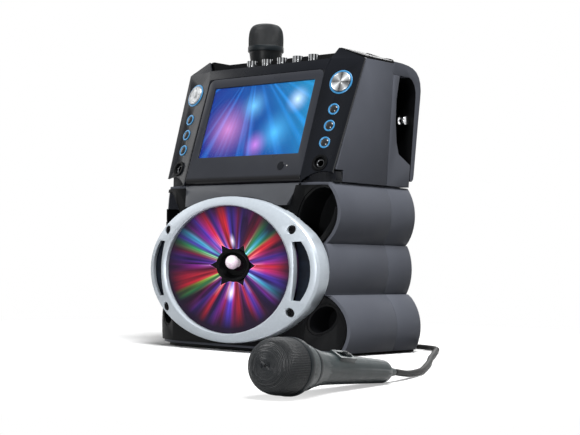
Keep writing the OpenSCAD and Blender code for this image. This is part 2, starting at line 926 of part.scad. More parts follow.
module disc_deck() {
    t = 2.5;
    color([0.16, 0.16, 0.17])
        on_face()
            difference() {
                union() {
                    translate([-88, -26, deck_n - t])
                        cube([176, 132, t]);
                    translate([0, 34, deck_n - 10])
                        cylinder(r = well_r + 2, h = 9, $fn = 96);
                    translate([82, 93, deck_n - 14])
                        cylinder(r = 5, h = 12, $fn = 48);
                    for (x = [-84, 84], y = [-20, 78])
                        translate([x, y, deck_n - eps])
                            cylinder(r = 3, h = y > 0 ? 2 : 2, $fn = 32);
                    for (s = [-1, 1])
                        translate([s * 70, 103.4, deck_n - 1])
                            cylinder(r = 2.4, h = -deck_n + 1 - plate_t - 0.1, $fn = 32);
                    translate([0, 34, deck_n - 22])
                        cylinder(r = 12, h = 13, $fn = 48);
                    for (s = [-1, 1])
                        translate([13, 34 + s * 13 - 1.5, deck_n - 20])
                            cube([46, 3, 4]);
                    for (x = [14, 55])
                        translate([x, 19.4, deck_n - 20])
                            cube([3, 29.2, 12]);
                }
                translate([0, 34, deck_n - 8])
                    cylinder(r = well_r, h = 20, $fn = 96);
                translate([0, 34, deck_n - 19])
                    cylinder(r = shaft_r + 0.05, h = 30, $fn = 48);
                translate([0, 34, deck_n - 8.5])
                    cylinder(r = table_r + 0.8, h = 3, $fn = 72);
                translate([17.5, 34 - 11, deck_n - 16])
                    cube([36, 22, 20]);
                translate([82, 93, deck_n - 12])
                    cylinder(r = 2.6, h = 30, $fn = 48);
                translate([82, 93, deck_n - 12])
                    cylinder(r = 3.9, h = 9, $fn = 48);
                translate([0, 18.2, deck_n - 14.5])
                    rotate([0, 90, 0])
                        cylinder(r = 1.05, h = 70, $fn = 32);
            }
}

module turntable() {
    color(chrome)
        on_face()
            translate([0, 34, deck_n - 8]) {
                cylinder(r = table_r, h = 2.4, $fn = 72);
                cylinder(r = 7.4, h = 5.4, $fn = 72);
                translate([0, 0, -10])
                    cylinder(r = shaft_r, h = 11, $fn = 48);
            }
}

module laser_sled() {
    color([0.2, 0.2, 0.22])
        on_face()
            translate([18.2, 34 - 13.8, deck_n - 15.7]) {
                cube([13, 27.6, 5.3]);
                translate([6.5, 13.8, 5.2])
                    cylinder(r = 4, h = 2.8, $fn = 48);
            }
}

module sled_screw() {
    color([0.75, 0.72, 0.6])
        on_face()
            translate([11.5, 18.2, deck_n - 14.5])
                rotate([0, 90, 0]) {
                    cylinder(r = 1, h = 50, $fn = 32);
                    translate([0, 0, 7])
                        cylinder(r = 1.6, h = 35, $fn = 32);
                    translate([0, 0, -3])
                        linear_extrude(height = 2.6)
                            polygon([for (k = [0 : 35]) let (q = k % 2 == 0 ? 4 : 3.2) [q * cos(10 * k), q * sin(10 * k)]]);
                }
}

module head_rear_shell() {
    outer = [[seam_y + 0.15, head_z], [78, head_z], [78, 217.5], [54.3, 229], [49, 242], [45, 265],
        [43.6, 290.5], [46.8, 315], [46.8, 318.9], [seam_y + 0.15, 318.9]];
    inner = [[seam_y - 5, head_z + wall], [78 - wall, head_z + wall], [78 - wall, 215.6], [52.4, 226.4],
        [46, 241.5], [42, 265], [40.6, 290.5], [43.6, 315.9], [seam_y - 5, 315.9]];
    color(satin)
        difference() {
            union() {
                difference() {
                    intersection() {
                        along_y(seam_y, 90)
                            head_outline(0);
                        along_x(-160, 160)
                            polygon(outer);
                    }
                    intersection() {
                        along_y(seam_y - 10, 90)
                            head_outline(wall);
                        along_x(-160, 160)
                            polygon(inner);
                    }
                }
                intersection() {
                    for (s = [-1, 1])
                        translate([s * stored_x, stored_y, head_z + 1])
                            cylinder(r = 18, h = 60, $fn = 72);
                    along_x(-160, 160)
                        polygon(outer);
                }
            }
            for (s = [-1, 1])
                translate([s * stored_x, stored_y, head_z + wall])
                    cylinder(r = 14.2, h = 80, $fn = 72);
        }
}

ARCH = [[seam_y + 0.15, shoulder_z], [50, 333.6], [62.8, 332.2], [72, 330], [79.2, 326.4], [84.6, 321], [88, 314.5],
    [89.9, 306], [89.9, 296], [88.6, 270], [86.4, 206], [85.6, 201], [83, 198.6], [80, 199],
    [79, 202], [80.2, 294], [79.8, 303], [76.5, 311], [71.5, 316.4], [65, 319], [seam_y + 0.15, 319.2]];

module rear_arch() {
    color(satin)
        difference() {
            union() {
                intersection() {
                    along_y(seam_y, 100)
                        head_outline(0);
                    along_x(-160, 160)
                        polygon(ARCH);
                }
                for (s = [-1, 1])
                    translate([s * 50, 78, 208])
                        rotate([-90, 0, 0])
                            cylinder(r = 5, h = 3, $fn = 32);
            }
            for (s = [-1, 1])
                translate([s * stored_x, stored_y, 300])
                    cylinder(r = 17.6, h = 60, $fn = 72);
        }
}

module mic_cups() {
    color(black)
        for (s = [-1, 1])
            translate([s * stored_x, stored_y, 0])
                difference() {
                    translate([0, 0, shoulder_z])
                        cylinder(r1 = 24, r2 = 20.6, h = cup_z - shoulder_z, $fn = 72);
                    translate([0, 0, shoulder_z - 5])
                        cylinder(r = mic_at(stored_proud) + cup_gap, h = cup_rise + 21, $fn = 72);
                }
}

module cable_studs() {
    color(chrome)
        both_sides() {
            translate([121, 79.6, 270])
                rotate([90, 0, 0])
                    cylinder(r = 2.6, h = 6, $fn = 32);
            translate([116.8, 73.4, 270])
                rotate([0, 90, 0]) {
                    cylinder(r = 5.2, h = 1.2, $fn = 48);
                    cylinder(r = 3.6, h = 9, $fn = 48);
                    translate([0, 0, 7])
                        cylinder(r = 5.4, h = 2.8, $fn = 48);
                }
        }
}

module rear_jacks() {
    color([0.14, 0.14, 0.15])
        difference() {
            union() {
                translate([-79.5, rear_y - 4, 40.5])
                    cube([65, 2, 33]);
                for (i = [0 : 3])
                    translate([-72 + i * 11, rear_y - 2, 65])
                        rotate([-90, 0, 0])
                            cylinder(r = 4, h = 2.5, $fn = 32);
                translate([-74, rear_y - 2, 44])
                    cube([22, 1.5, 12]);
            }
            for (i = [0 : 3])
                translate([-72 + i * 11, rear_y - 8, 65])
                    rotate([-90, 0, 0])
                        cylinder(r = 1.8, h = 12, $fn = 32);
            translate([-70, rear_y - 3, 46.5])
                cube([14, 5, 7]);
            translate([-41, rear_y - 8, 43.5])
                cube([22, 12, 13]);
        }
}

module power_switch() {
    color(black)
        translate([0, rear_y - 3, 50])
            difference() {
                along_x(-40.4, -19.6)
                    polygon([[-3, -4], [-3, 4], [1.2, 6], [2.2, 5.6], [1.4, 0], [2.2, -5.6], [1.2, -6]]);
                along_x(-41, -19)
                    circle(r = 0.7, $fn = 32);
            }
}

// Radius of the microphone at a distance from its top
MIC = [[0, 14.5], [2, 17.2], [6, 19.8], [12, 21.6], [20, 22.3], [30, 22.2], [30.5, mic_r], [35.5, mic_r],
    [36, 21.2], [46, 19.6], [60, 16.6], [76, 13.8], [92, 12.9], [mic_len - 4, tail_r], [mic_len, tail_r - 1.2]];

function mic_at(u, i = 0) =
    u <= MIC[i + 1][0]
        ? MIC[i][1] + (MIC[i + 1][1] - MIC[i][1]) * (u - MIC[i][0]) / (MIC[i + 1][0] - MIC[i][0])
        : mic_at(u, i + 1);

module mic_grille() {
    color([0.15, 0.15, 0.16])
        rotate_extrude($fn = 72)
            polygon(concat([[0, 0]], [for (i = [0 : 7]) [MIC[i][1], -MIC[i][0]]], [[19, -36], [0, -36]]));
}

module mic_handle() {
    color([0.1, 0.1, 0.11])
        difference() {
            union() {
                rotate_extrude($fn = 72)
                    polygon(concat([[0, -36.1]], [for (i = [8 : 14]) [MIC[i][1], i == 8 ? -36.1 : -MIC[i][0]]], [[0, -mic_len]]));
                translate([0, 0, -mic_len - 18])
                    rotate_extrude($fn = 32)
                        polygon([[0, 0], [3.4, 0], [4.6, 12], [5.8, 14], [5.8, 18.1], [0, 18.1]]);
                translate([-6, 0, -118])
                    cube([12, 14.4, 26]);
            }
            translate([-3.2, 12.4, -114])
                cube([6.4, 5, 18]);
        }
}

module mic_switch() {
    color([0.5, 0.5, 0.52])
        translate([-2.9, 12.7, -113.7])
            union() {
                cube([5.8, 2.4, 8]);
                for (k = [1 : 3])
                    translate([0, 0, k * 2 - 0.4])
                        cube([5.8, 3, 0.8]);
            }
}

module stored_place() {
    translate([stored_x, stored_y, stored_top])
        rotate(180)
            children();
}

lying_tilt = asin((mic_r - tail_r) / (mic_len - 4 - 33));

module lying_place() {
    translate([lying_x, lying_y, 0])
        rotate(lying_turn)
            translate([0, 0, mic_r / cos(lying_tilt) + 33 * sin(lying_tilt) + 0.02])
                rotate([0, -90 + lying_tilt, 0])
                    rotate(180 + switch_turn)
                        children();
}

switch_turn = 60;

// A point of the lying microphone, u from its top along its axis
function lying_point(u) = [
    lying_x + u * cos(lying_turn) * cos(lying_tilt),
    lying_y + u * sin(lying_turn) * cos(lying_tilt),
    mic_r / cos(lying_tilt) + 33 * sin(lying_tilt) + 0.02 - u * sin(lying_tilt)
];

// Round tube along a path: a ring of points square to the path at each station
function tube_ring(path, i, r, sides) =
    let (
        m = len(path),
        d = path[min(i + 1, m - 1)] - path[max(i - 1, 0)],
        t = d / norm(d),
        s0 = cross(t, [0, 0, 1]),
        s = s0 / norm(s0),
        v = cross(s, t)
    )
    [for (k = [0 : sides - 1]) path[i] + r * (cos(360 * k / sides) * s + sin(360 * k / sides) * v)];

module tube(path, r, sides) {
    skin([for (i = [0 : len(path) - 1]) tube_ring(path, i, r, sides)]);
}

function ease(t) = let (u = min(max(t, 0), 1)) u * u * (3 - 2 * u);

// Smooth curve through four neighbouring route points
function blend(a, b, c, d, t) =
    0.5 * (2 * b + (c - a) * t + (2 * a - 5 * b + 4 * c - d) * t * t + (3 * b - a - 3 * c + d) * t * t * t);

function through(pts, step) = concat(
    [for (i = [1 : len(pts) - 3], k = [0 : step - 1]) blend(pts[i - 1], pts[i], pts[i + 1], pts[i + 2], k / step)],
    [pts[len(pts) - 2]]
);

// Stored coil: in along the lower layer, up, and out again along the upper one
coil_x = 20;
coil_y = 165;
lay = cord_d + 0.8;
coil_z = 4.5;
coil_out = coil_mid_r + lay * (coil_turns + 0.5) / 2;

function coil_radius(k) =
    k < coil_turns ? coil_out - lay * k
    : k < coil_turns + 0.5 ? coil_out - lay * coil_turns - lay * ease((k - coil_turns) * 4)
    : coil_out - lay * (coil_turns + 1) + lay * (k - coil_turns - 0.5);

function coil_point(k) = [
    coil_x + coil_radius(k) * cos(-90 - 360 * k),
    coil_y + coil_radius(k) * sin(-90 - 360 * k),
    coil_z + lay * ease((k - coil_turns - 0.25) * 4)
];

coil_total = 2 * coil_turns + 1.5;
plug_r = 5.4;
coil_end = coil_point(coil_total);
COIL = concat(
    [[coil_x + cord_d, coil_y - coil_out, coil_z]],
    [for (i = [0 : 24 * coil_total]) coil_point(i / 24)],
    [for (s = [10, 18, 26, 34, 42, 50]) coil_end + [-s, 0, -(coil_z + lay - plug_r - 0.1) * ease((s - 10) / 40)]],
    [coil_end + [-56, 0, -(coil_z + lay - plug_r - 0.1)]],
    [coil_end + [-62, 0, -(coil_z + lay - plug_r - 0.1)]]
);

// Free lead: route points, from the strain relief to the coil
cord_z = cord_d / 2 + 0.1;
LEAD = concat(
    [lying_point(mic_len + 12), lying_point(mic_len + 18), lying_point(mic_len + 24)],
    [[342, -212, cord_z + 1], [325, -170, cord_z], [299, -125, cord_z], [268, -75, cord_z], [234, -24, cord_z],
        [204, 24, cord_z], [176, 68, cord_z], [155, 101, cord_z], [132, 118, cord_z], [96, 121, cord_z + 0.4],
        [60, 117, cord_z + 1]],
    [[coil_x + 4 * cord_d, coil_y - coil_out, coil_z], [coil_x + cord_d, coil_y - coil_out, coil_z], [coil_x, coil_y - coil_out, coil_z]]
);
ROUTE = through(LEAD, 4);

function run(path, i = 1) = i >= len(path) ? 0 : norm(path[i] - path[i - 1]) + run(path, i + 1);

// Least distance from a coil station to the rest of the coil, less one diameter
function coil_gap(i) = min([for (j = [i + 9 : max(i + 9, len(COIL) - 1)]) j < len(COIL) ? norm(COIL[i] - COIL[j]) : 99]) - cord_d;
echo(coil_least_gap = min([for (i = [0 : 2 : len(COIL) - 10]) coil_gap(i)]));
echo(lead_length = run(ROUTE) + run(COIL));

module mic_cord() {
    color(black)
        tube(ROUTE, cord_d / 2, 8);
}

module mic_cord_coil() {
    color(black)
        tube(COIL, cord_d / 2, 6);
}

// Strap round both layers of the coil, on the side away from the machine
module cord_tie() {
    inner = coil_radius(coil_turns + 0.5) - cord_d / 2 - 1.2;
    outer = coil_out + cord_d / 2 + 0.6;
    top = coil_z + lay + cord_d / 2 + 0.4;
    color([0.12, 0.12, 0.13])
        translate([coil_x - 5, coil_y, 0])
            difference() {
                translate([0, inner - 1, 0.1])
                    cube([10, outer - inner + 2, top + 0.9]);
                translate([-1, inner, 1.1])
                    cube([12, outer - inner, top - 1.1]);
            }
}

module mic_plug() {
    color(chrome)
        translate([coil_end[0] - 62, coil_end[1], plug_r + 0.1])
            rotate([0, -90, 0])
                union() {
                    cylinder(r1 = 3.6, r2 = 4.6, h = 9, $fn = 32);
                    translate([0, 0, 9])
                        cylinder(r = plug_r, h = 24, $fn = 48);
                    translate([0, 0, 33])
                        rotate_extrude($fn = 48)
                            polygon([[0, 0], [3.175, 0], [3.175, 25.4], [2.4, 26.4], [3.1, 28.2], [0.8, 31.2], [0, 31.2]]);
                }
}

base_tray();
base_pads();
front_cabinet();
rear_cabinet();
front_baffle();
port_cups();
ring_bezel();
ring_screws();
slot_meshes();
reflector_dish();
led_hub();
led_lens();
woofer_frame();
woofer_cone();
woofer_magnet();
lower_panel();
fascia();
head_front_shell();
head_rear_shell();
rear_arch();
mic_cups();
cable_studs();
top_deck();
circuit_boards();
knob(1);  // knob_1
knob(2);  // knob_2
knob(3);  // knob_3
knob(4);  // knob_4
knob(5);  // knob_5
dial(-1);  // left_dial
dial(1);  // right_dial
light_rings();
button(-1, 0);  // button_l1
button(-1, 1);  // button_l2
button(-1, 2);  // button_l3
button(1, 0);  // button_r1
button(1, 1);  // button_r2
button(1, 2);  // button_r3
mic_jacks();
door_frame();
lcd_panel();
screen_glass();
hinge_pins();
door_latch();
disc_deck();
turntable();
laser_sled();
sled_screw();
rear_jacks();
power_switch();
lying_place() mic_grille();  // front_mic_grille
lying_place() mic_handle();  // front_mic_handle
lying_place() mic_switch();  // front_mic_switch
stored_place() mic_grille();  // stored_mic_grille
stored_place() mic_handle();  // stored_mic_handle
stored_place() mic_switch();  // stored_mic_switch
mic_cord();
mic_cord_coil();
cord_tie();
mic_plug();
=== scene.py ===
# %% [markdown]
# # A karaoke machine with a screen door
# The machine is a stack of moulded shells: a body with three round lobes on each side, a silver
# oval ring round a light reflector, and on top a head whose leaning face holds a screen door,
# two dials, six buttons and two sockets. Its solids come in as a fixed frame, in metres, with +Z
# up and the front towards -Y. This lesson dresses them: some solids only need a finish, others
# are rounded, and the finest pieces are modelled anew in the same place.

# %% Load the solids
import bpy
import bmesh
import json
import math
from mathutils import Matrix, Vector


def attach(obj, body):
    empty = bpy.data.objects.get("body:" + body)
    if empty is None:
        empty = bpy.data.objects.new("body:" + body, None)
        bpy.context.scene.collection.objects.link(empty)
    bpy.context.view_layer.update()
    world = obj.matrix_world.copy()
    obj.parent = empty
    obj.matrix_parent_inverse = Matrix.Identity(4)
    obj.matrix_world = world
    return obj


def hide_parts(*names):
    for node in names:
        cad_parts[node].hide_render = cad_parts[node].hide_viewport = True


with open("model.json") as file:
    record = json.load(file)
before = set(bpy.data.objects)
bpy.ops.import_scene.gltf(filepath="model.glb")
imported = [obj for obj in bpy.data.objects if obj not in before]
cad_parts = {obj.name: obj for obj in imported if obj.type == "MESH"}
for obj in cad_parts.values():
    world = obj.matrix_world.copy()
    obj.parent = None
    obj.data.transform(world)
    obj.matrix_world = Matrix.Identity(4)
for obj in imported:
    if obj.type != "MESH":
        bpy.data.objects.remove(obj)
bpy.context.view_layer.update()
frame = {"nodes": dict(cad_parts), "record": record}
scene = bpy.context.scene
for plain in bpy.data.materials:
    plain.name = "plain_" + plain.name
print(len(frame["nodes"]), "solids")

# %% [markdown]
# The face of the head leans back and its outer columns are swept back as well, so places on them
# are easiest to give on the face itself: across, up the slope and outwards. Two helpers turn
# such a place, in millimetres, into a point of the frame.

# %% Places on the leaning face
LEAN = math.radians(17.8)
SWEEP = math.radians(10.3)
FOLD_X = 90.4
FACE_Y, FACE_Z = -64.4, 225.9


def on_face(x, s, n):
    return Vector((x, FACE_Y + s * math.sin(LEAN) - n * math.cos(LEAN),
                   FACE_Z + s * math.cos(LEAN) + n * math.sin(LEAN))) / 1000


def on_column(side, u, s, n):
    x = FOLD_X + u * math.cos(SWEEP) + n * math.sin(SWEEP)
    p = on_face(x, s, -u * math.sin(SWEEP) + n * math.cos(SWEEP))
    return Vector((side * p.x, p.y, p.z))


def turn_to(side=0):
    """Axes of the face (side 0) or of one column: across, up the slope, outwards."""
    across = Vector((1, 0, 0))
    up = Vector((0, math.sin(LEAN), math.cos(LEAN)))
    out = Vector((0, -math.cos(LEAN), math.sin(LEAN)))
    if side:
        across = Vector((side * math.cos(SWEEP), math.sin(SWEEP) * math.cos(LEAN),
                         -math.sin(SWEEP) * math.sin(LEAN)))
        out = Vector((side * math.sin(SWEEP), -math.cos(SWEEP) * math.cos(LEAN),
                      math.cos(SWEEP) * math.sin(LEAN)))
    if side < 0:
        across = -across
    return Matrix((across, up, out)).transposed()


print("middle of the screen at", [round(v, 4) for v in on_face(0, 43, 0)])

# %% [markdown]
# The camera stands low, a little over a metre from the machine, and looks at it from its right
# front corner. It comes first, because the lead behind the machine has to stay out of its view.

# %% Camera
CAMERA_AT = (1.05568, -1.19475, 0.10474)
FOCAL_PIXELS, PICTURE_PIXELS, SENSOR = 1340.62, 580, 36
yaw, tilt, roll = math.radians(41.13), math.radians(-1.8), math.radians(1.02)
ahead = Vector((-math.sin(yaw) * math.cos(tilt), math.cos(yaw) * math.cos(tilt), -math.sin(tilt)))
right = Vector((math.cos(yaw), math.sin(yaw), 0))
above = right.cross(ahead)
cam_x = right * math.cos(roll) + above * math.sin(roll)
cam_y = above * math.cos(roll) - right * math.sin(roll)
camera_data = bpy.data.cameras.new("camera")
camera_data.sensor_width = SENSOR
camera_data.lens = SENSOR * FOCAL_PIXELS / PICTURE_PIXELS
camera_data.clip_start, camera_data.clip_end = 0.05, 60
camera = bpy.data.objects.new("camera", camera_data)
scene.collection.objects.link(camera)
camera.matrix_world = Matrix.Translation(CAMERA_AT) @ Matrix(
    (cam_x, cam_y, -ahead)).transposed().to_4x4()
scene.camera = camera
print("camera", [round(v, 3) for v in camera.location])

# %% [markdown]
# Finishes are built from nodes that read Object coordinates, so that grain and speckle keep their
# size on every piece. Small helpers add fine moulded grain as bump, let the roughness wander a
# little and let the colour wander between two close tones. The last one makes the shader, sets
# its plain numbers and calls the others. Sizes are in millimetres.

# %% Helpers for finishes
MM = 0.001


def node(mat, kind, **sockets):
    n = mat.node_tree.nodes.new(kind)
    for key, value in sockets.items():
        n.inputs[key.replace("_", " ")].default_value = value
    return n


def link(mat, a, b):
    mat.node_tree.links.new(a, b)


def shader_of(mat):
    return mat.node_tree.nodes["Principled BSDF"]


def object_coords(mat):
    for n in mat.node_tree.nodes:
        if n.type == "TEX_COORD":
            return n.outputs["Object"]
    return node(mat, "ShaderNodeTexCoord").outputs["Object"]


def object_noise(mat, size, **sockets):
    noise = node(mat, "ShaderNodeTexNoise", Scale=1 / (size * MM), **sockets)
    link(mat, object_coords(mat), noise.inputs["Vector"])
    return noise.outputs["Fac"]


def map_range(mat, value, start, end, low=0.0, high=1.0, kind="LINEAR"):
    n = node(mat, "ShaderNodeMapRange", From_Min=start, From_Max=end, To_Min=low, To_Max=high)
    n.interpolation_type = kind
    link(mat, value, n.inputs["Value"])
    return n.outputs["Result"]


def bump_from(mat, height, strength, depth):
    bump = node(mat, "ShaderNodeBump", Strength=strength, Distance=depth * MM)
    link(mat, height, bump.inputs["Height"])
    link(mat, bump.outputs["Normal"], shader_of(mat).inputs["Normal"])


def add_grain(mat, size, depth):
    bump_from(mat, object_noise(mat, size, Detail=3, Roughness=0.6), 1.0, depth)


def vary_roughness(mat, low, high, size):
    wander = map_range(mat, object_noise(mat, size, Detail=2), 0.3, 0.7, low, high)
    link(mat, wander, shader_of(mat).inputs["Roughness"])


def tint(mat, dark, light, size, detail=2):
    ramp = node(mat, "ShaderNodeValToRGB")
    for element, place, color in zip(ramp.color_ramp.elements, (0.35, 0.65), (dark, light)):
        element.position = place
        element.color = (*color, 1)
    link(mat, object_noise(mat, size, Detail=detail), ramp.inputs["Fac"])
    link(mat, ramp.outputs["Color"], shader_of(mat).inputs["Base Color"])


def finish(name, color, rough, metal=0.0, coat=0.0, spec=0.5, tones=None, wander=None, grain=None):
    """tones: dark, light, size; wander: lowest and highest roughness, size; grain: size, depth."""
    mat = bpy.data.materials.new(name)
    mat.use_nodes = True
    for socket, value in (("Base Color", (*color, 1)), ("Roughness", rough), ("Metallic", metal),
                          ("Coat Weight", coat), ("Coat Roughness", 0.06), ("Specular IOR Level", spec)):
        shader_of(mat).inputs[socket].default_value = value
    if tones:
        tint(mat, *tones)
    if wander:
        vary_roughness(mat, *wander)
    if grain:
        add_grain(mat, *grain)
    return mat


# %% [markdown]
# The shells are a dark slate plastic with a satin mould finish, the front is black, and the face
# is polished black. The ring is silver paint over plastic, so it is only partly metallic.

# %% Plastics and paints
satin_shell = finish("satin_shell", (0.096, 0.102, 0.122), 0.4, spec=0.035,
                     tones=((0.090, 0.096, 0.115), (0.102, 0.109, 0.130), 60), wander=(0.36, 0.44, 25),
                     grain=(0.5, 0.02))

black_plastic = finish("black_plastic", (0.003, 0.003, 0.004), 0.46, spec=0.05,
                       tones=((0.0025, 0.0028, 0.003), (0.004, 0.0042, 0.005), 40), grain=(0.6, 0.03))

gloss_black = finish("gloss_black", (0.005, 0.006, 0.009), 0.25, spec=0.1,
                     tones=((0.0045, 0.0055, 0.008), (0.006, 0.007, 0.010), 50),
                     wander=(0.22, 0.29, 30), grain=(1.5, 0.003))

door_slate = finish("door_slate", (0.022, 0.024, 0.030), 0.3, spec=0.16,
                    tones=((0.020, 0.022, 0.028), (0.024, 0.026, 0.033), 50), wander=(0.27, 0.35, 30),
                    grain=(1.0, 0.004))

grey_panel = finish("grey_panel", (0.05, 0.053, 0.06), 0.42, spec=0.35,
                    tones=((0.046, 0.049, 0.056), (0.053, 0.057, 0.065), 30), grain=(0.6, 0.02))

silver_paint = finish("silver_paint", (0.46, 0.51, 0.56), 0.4, metal=0.35,
                      tones=((0.445, 0.495, 0.545), (0.475, 0.525, 0.575), 3, 6), grain=(0.35, 0.006))

rubber = finish("rubber", (0.007, 0.007, 0.007), 0.6, spec=0.15,
                tones=((0.005, 0.005, 0.005), (0.009, 0.009, 0.009), 12), grain=(0.8, 0.05))

chrome_trim = finish("chrome_trim", (0.78, 0.79, 0.81), 0.14, metal=1.0, wander=(0.1, 0.2, 4),
                     grain=(1.0, 0.002))

dark_screws = finish("dark_screws", (0.003, 0.003, 0.004), 0.4, spec=0.08, wander=(0.3, 0.42, 3),
                     grain=(0.5, 0.01))

board_green = finish("board_green", (0.02, 0.09, 0.035), 0.4, coat=0.2,
                     tones=((0.015, 0.07, 0.03), (0.03, 0.12, 0.05), 2.5), grain=(0.8, 0.02))

iron = finish("iron", (0.14, 0.14, 0.15), 0.5, metal=0.6,
              tones=((0.11, 0.11, 0.12), (0.17, 0.17, 0.18), 6), grain=(0.7, 0.03))

cone_paper = finish("cone_paper", (0.03, 0.03, 0.03), 0.8,
                    tones=((0.022, 0.022, 0.022), (0.042, 0.042, 0.042), 1.5, 5), grain=(0.6, 0.08))

white_plastic = finish("white_plastic", (0.6, 0.6, 0.57), 0.4,
                       tones=((0.57, 0.57, 0.54), (0.63, 0.63, 0.6), 5), grain=(0.5, 0.01))

socket_steel = finish("socket_steel", (0.06, 0.062, 0.065), 0.18, metal=1.0, wander=(0.14, 0.24, 3),
                      grain=(1.0, 0.002))

knob_plate = finish("knob_plate", (0.42, 0.43, 0.44), 0.14, metal=1.0, wander=(0.1, 0.2, 4),
                    grain=(1.0, 0.002))

sled_brass = finish("sled_brass", (0.55, 0.42, 0.2), 0.3, metal=1.0, wander=(0.22, 0.38, 2),
                    grain=(0.5, 0.01))
print(len(bpy.data.materials), "finishes so far")

# %% Finishes for the microphones and the dark mesh
mic_black = finish("mic_black", (0.030, 0.040, 0.042), 0.36, spec=0.14,
                   tones=((0.027, 0.036, 0.038), (0.033, 0.044, 0.046), 15), wander=(0.32, 0.42, 10),
                   grain=(0.4, 0.012))

mic_jet = finish("mic_jet", (0.006, 0.007, 0.008), 0.36, spec=0.12,
                 tones=((0.005, 0.006, 0.007), (0.008, 0.009, 0.010), 15), grain=(0.4, 0.012))

mic_grey = finish("mic_grey", (0.006, 0.009, 0.011), 0.42, spec=0.15, wander=(0.38, 0.48, 3),
                  grain=(0.4, 0.02))

dark_mesh = finish("dark_mesh", (0.010, 0.012, 0.014), 0.35, spec=0.35, wander=(0.34, 0.46, 4),
                   grain=(0.6, 0.02))

slot_navy = finish("slot_navy", (0.006, 0.009, 0.016), 0.5, spec=0.12,
                   tones=((0.005, 0.007, 0.012), (0.008, 0.012, 0.021), 8), grain=(0.5, 0.03))

blue_light = finish("blue_light", (0.02, 0.12, 0.28), 0.3,
                    tones=((0.015, 0.1, 0.22), (0.03, 0.15, 0.32), 3), grain=(0.8, 0.01))
shader_of(blue_light).inputs["Emission Color"].default_value = (0.03, 0.30, 0.60, 1)
shader_of(blue_light).inputs["Emission Strength"].default_value = 0.4

clear_ball = finish("clear_ball", (0.95, 0.85, 0.93), 0.08, coat=0.6,
                    tones=((0.95, 0.7, 0.88), (0.98, 0.96, 0.99), 5), grain=(3, 0.02))
shader_of(clear_ball).inputs["Emission Color"].default_value = (1.0, 0.85, 0.95, 1)
shader_of(clear_ball).inputs["Emission Strength"].default_value = 0.25

brushed_dial = finish("brushed_dial", (0.6, 0.62, 0.65), 0.28, metal=1.0, wander=(0.2, 0.36, 1.5),
                      grain=(0.6, 0.006))
print(len(bpy.data.materials), "finishes so far")

# %% [markdown]
# The picture on the screen is a generic light show: a deep blue ground, brighter towards one
# side, with soft beams that fan out from above and a few round glows. It is built on the face's
# own axes, in millimetres, and so is the dark strip along the foot of the door. A few helpers
# build such patterns out of small sums.

# %% Helpers for patterns
def face_axes(mat, place, turn):
    """Coordinates in millimetres on a turned face, from a Mapping node."""
    mapping = node(mat, "ShaderNodeMapping")
    mapping.vector_type = "POINT"
    inverse = turn.inverted()
    shift = inverse @ place
    mapping.inputs["Rotation"].default_value = inverse.to_euler("XYZ")
    mapping.inputs["Location"].default_value = [-1000 * v for v in shift]
    mapping.inputs["Scale"].default_value = (1000, 1000, 1000)
    link(mat, object_coords(mat), mapping.inputs["Vector"])
    split = node(mat, "ShaderNodeSeparateXYZ")
    link(mat, mapping.outputs["Vector"], split.inputs["Vector"])
    return split.outputs


def calc(mat, operation, a, b=None, clamp=False):
    n = node(mat, "ShaderNodeMath")
    n.operation = operation
    n.use_clamp = clamp
    for socket, value in zip(n.inputs, (a, b)):
        if value is None:
            continue
        if isinstance(value, (int, float)):
            socket.default_value = value
        else:
            link(mat, value, socket)
    return n.outputs[0]


def sums(mat):
    """calc for one finish, which keeps long sums readable."""
    return lambda operation, a, b=None, clamp=False: calc(mat, operation, a, b, clamp)


def ramp_of(mat, fac, stops):
    """Colour ramp from (place, colour) stops."""
    n = node(mat, "ShaderNodeValToRGB")
    ramp = n.color_ramp
    while len(ramp.elements) < len(stops):
        ramp.elements.new(0.5)
    for element, (place, color) in zip(ramp.elements, stops):
        element.position = place
        element.color = (*color, 1)
    link(mat, fac, n.inputs["Fac"])
    return n.outputs["Color"]


def mix_color(mat, kind, fac, a, b):
    n = node(mat, "ShaderNodeMix")
    n.data_type, n.blend_type = "RGBA", kind
    for socket, value in ((n.inputs[0], fac), (n.inputs[6], a), (n.inputs[7], b)):
        if isinstance(value, (int, float)):
            socket.default_value = value
        elif isinstance(value, tuple):
            socket.default_value = (*value, 1)
        else:
            link(mat, value, socket)
    return n.outputs[2]


def glow(mat, x, y, cx, cy, radius):
    """One round glow: 1 in its middle, 0 at its rim."""
    do = sums(mat)
    dx, dy = do("SUBTRACT", x, cx), do("SUBTRACT", y, cy)
    d = do("SQRT", do("ADD", do("POWER", dx, 2), do("POWER", dy, 2)))
    near = do("SUBTRACT", 1, do("DIVIDE", d, radius), clamp=True)
    return do("POWER", near, 2)


# %% The dark foot of the door
FOOT_TOP, FOOT_END = -26.5, -30.5
up_slope = face_axes(door_slate, on_face(0, 0, 0), turn_to())[1]
foot = map_range(door_slate, up_slope, FOOT_END, FOOT_TOP, kind="SMOOTHSTEP")
slate = shader_of(door_slate).inputs["Base Color"].links[0].from_socket
link(door_slate, mix_color(door_slate, "MIX", foot, (0.003, 0.003, 0.004), slate),
     shader_of(door_slate).inputs["Base Color"])

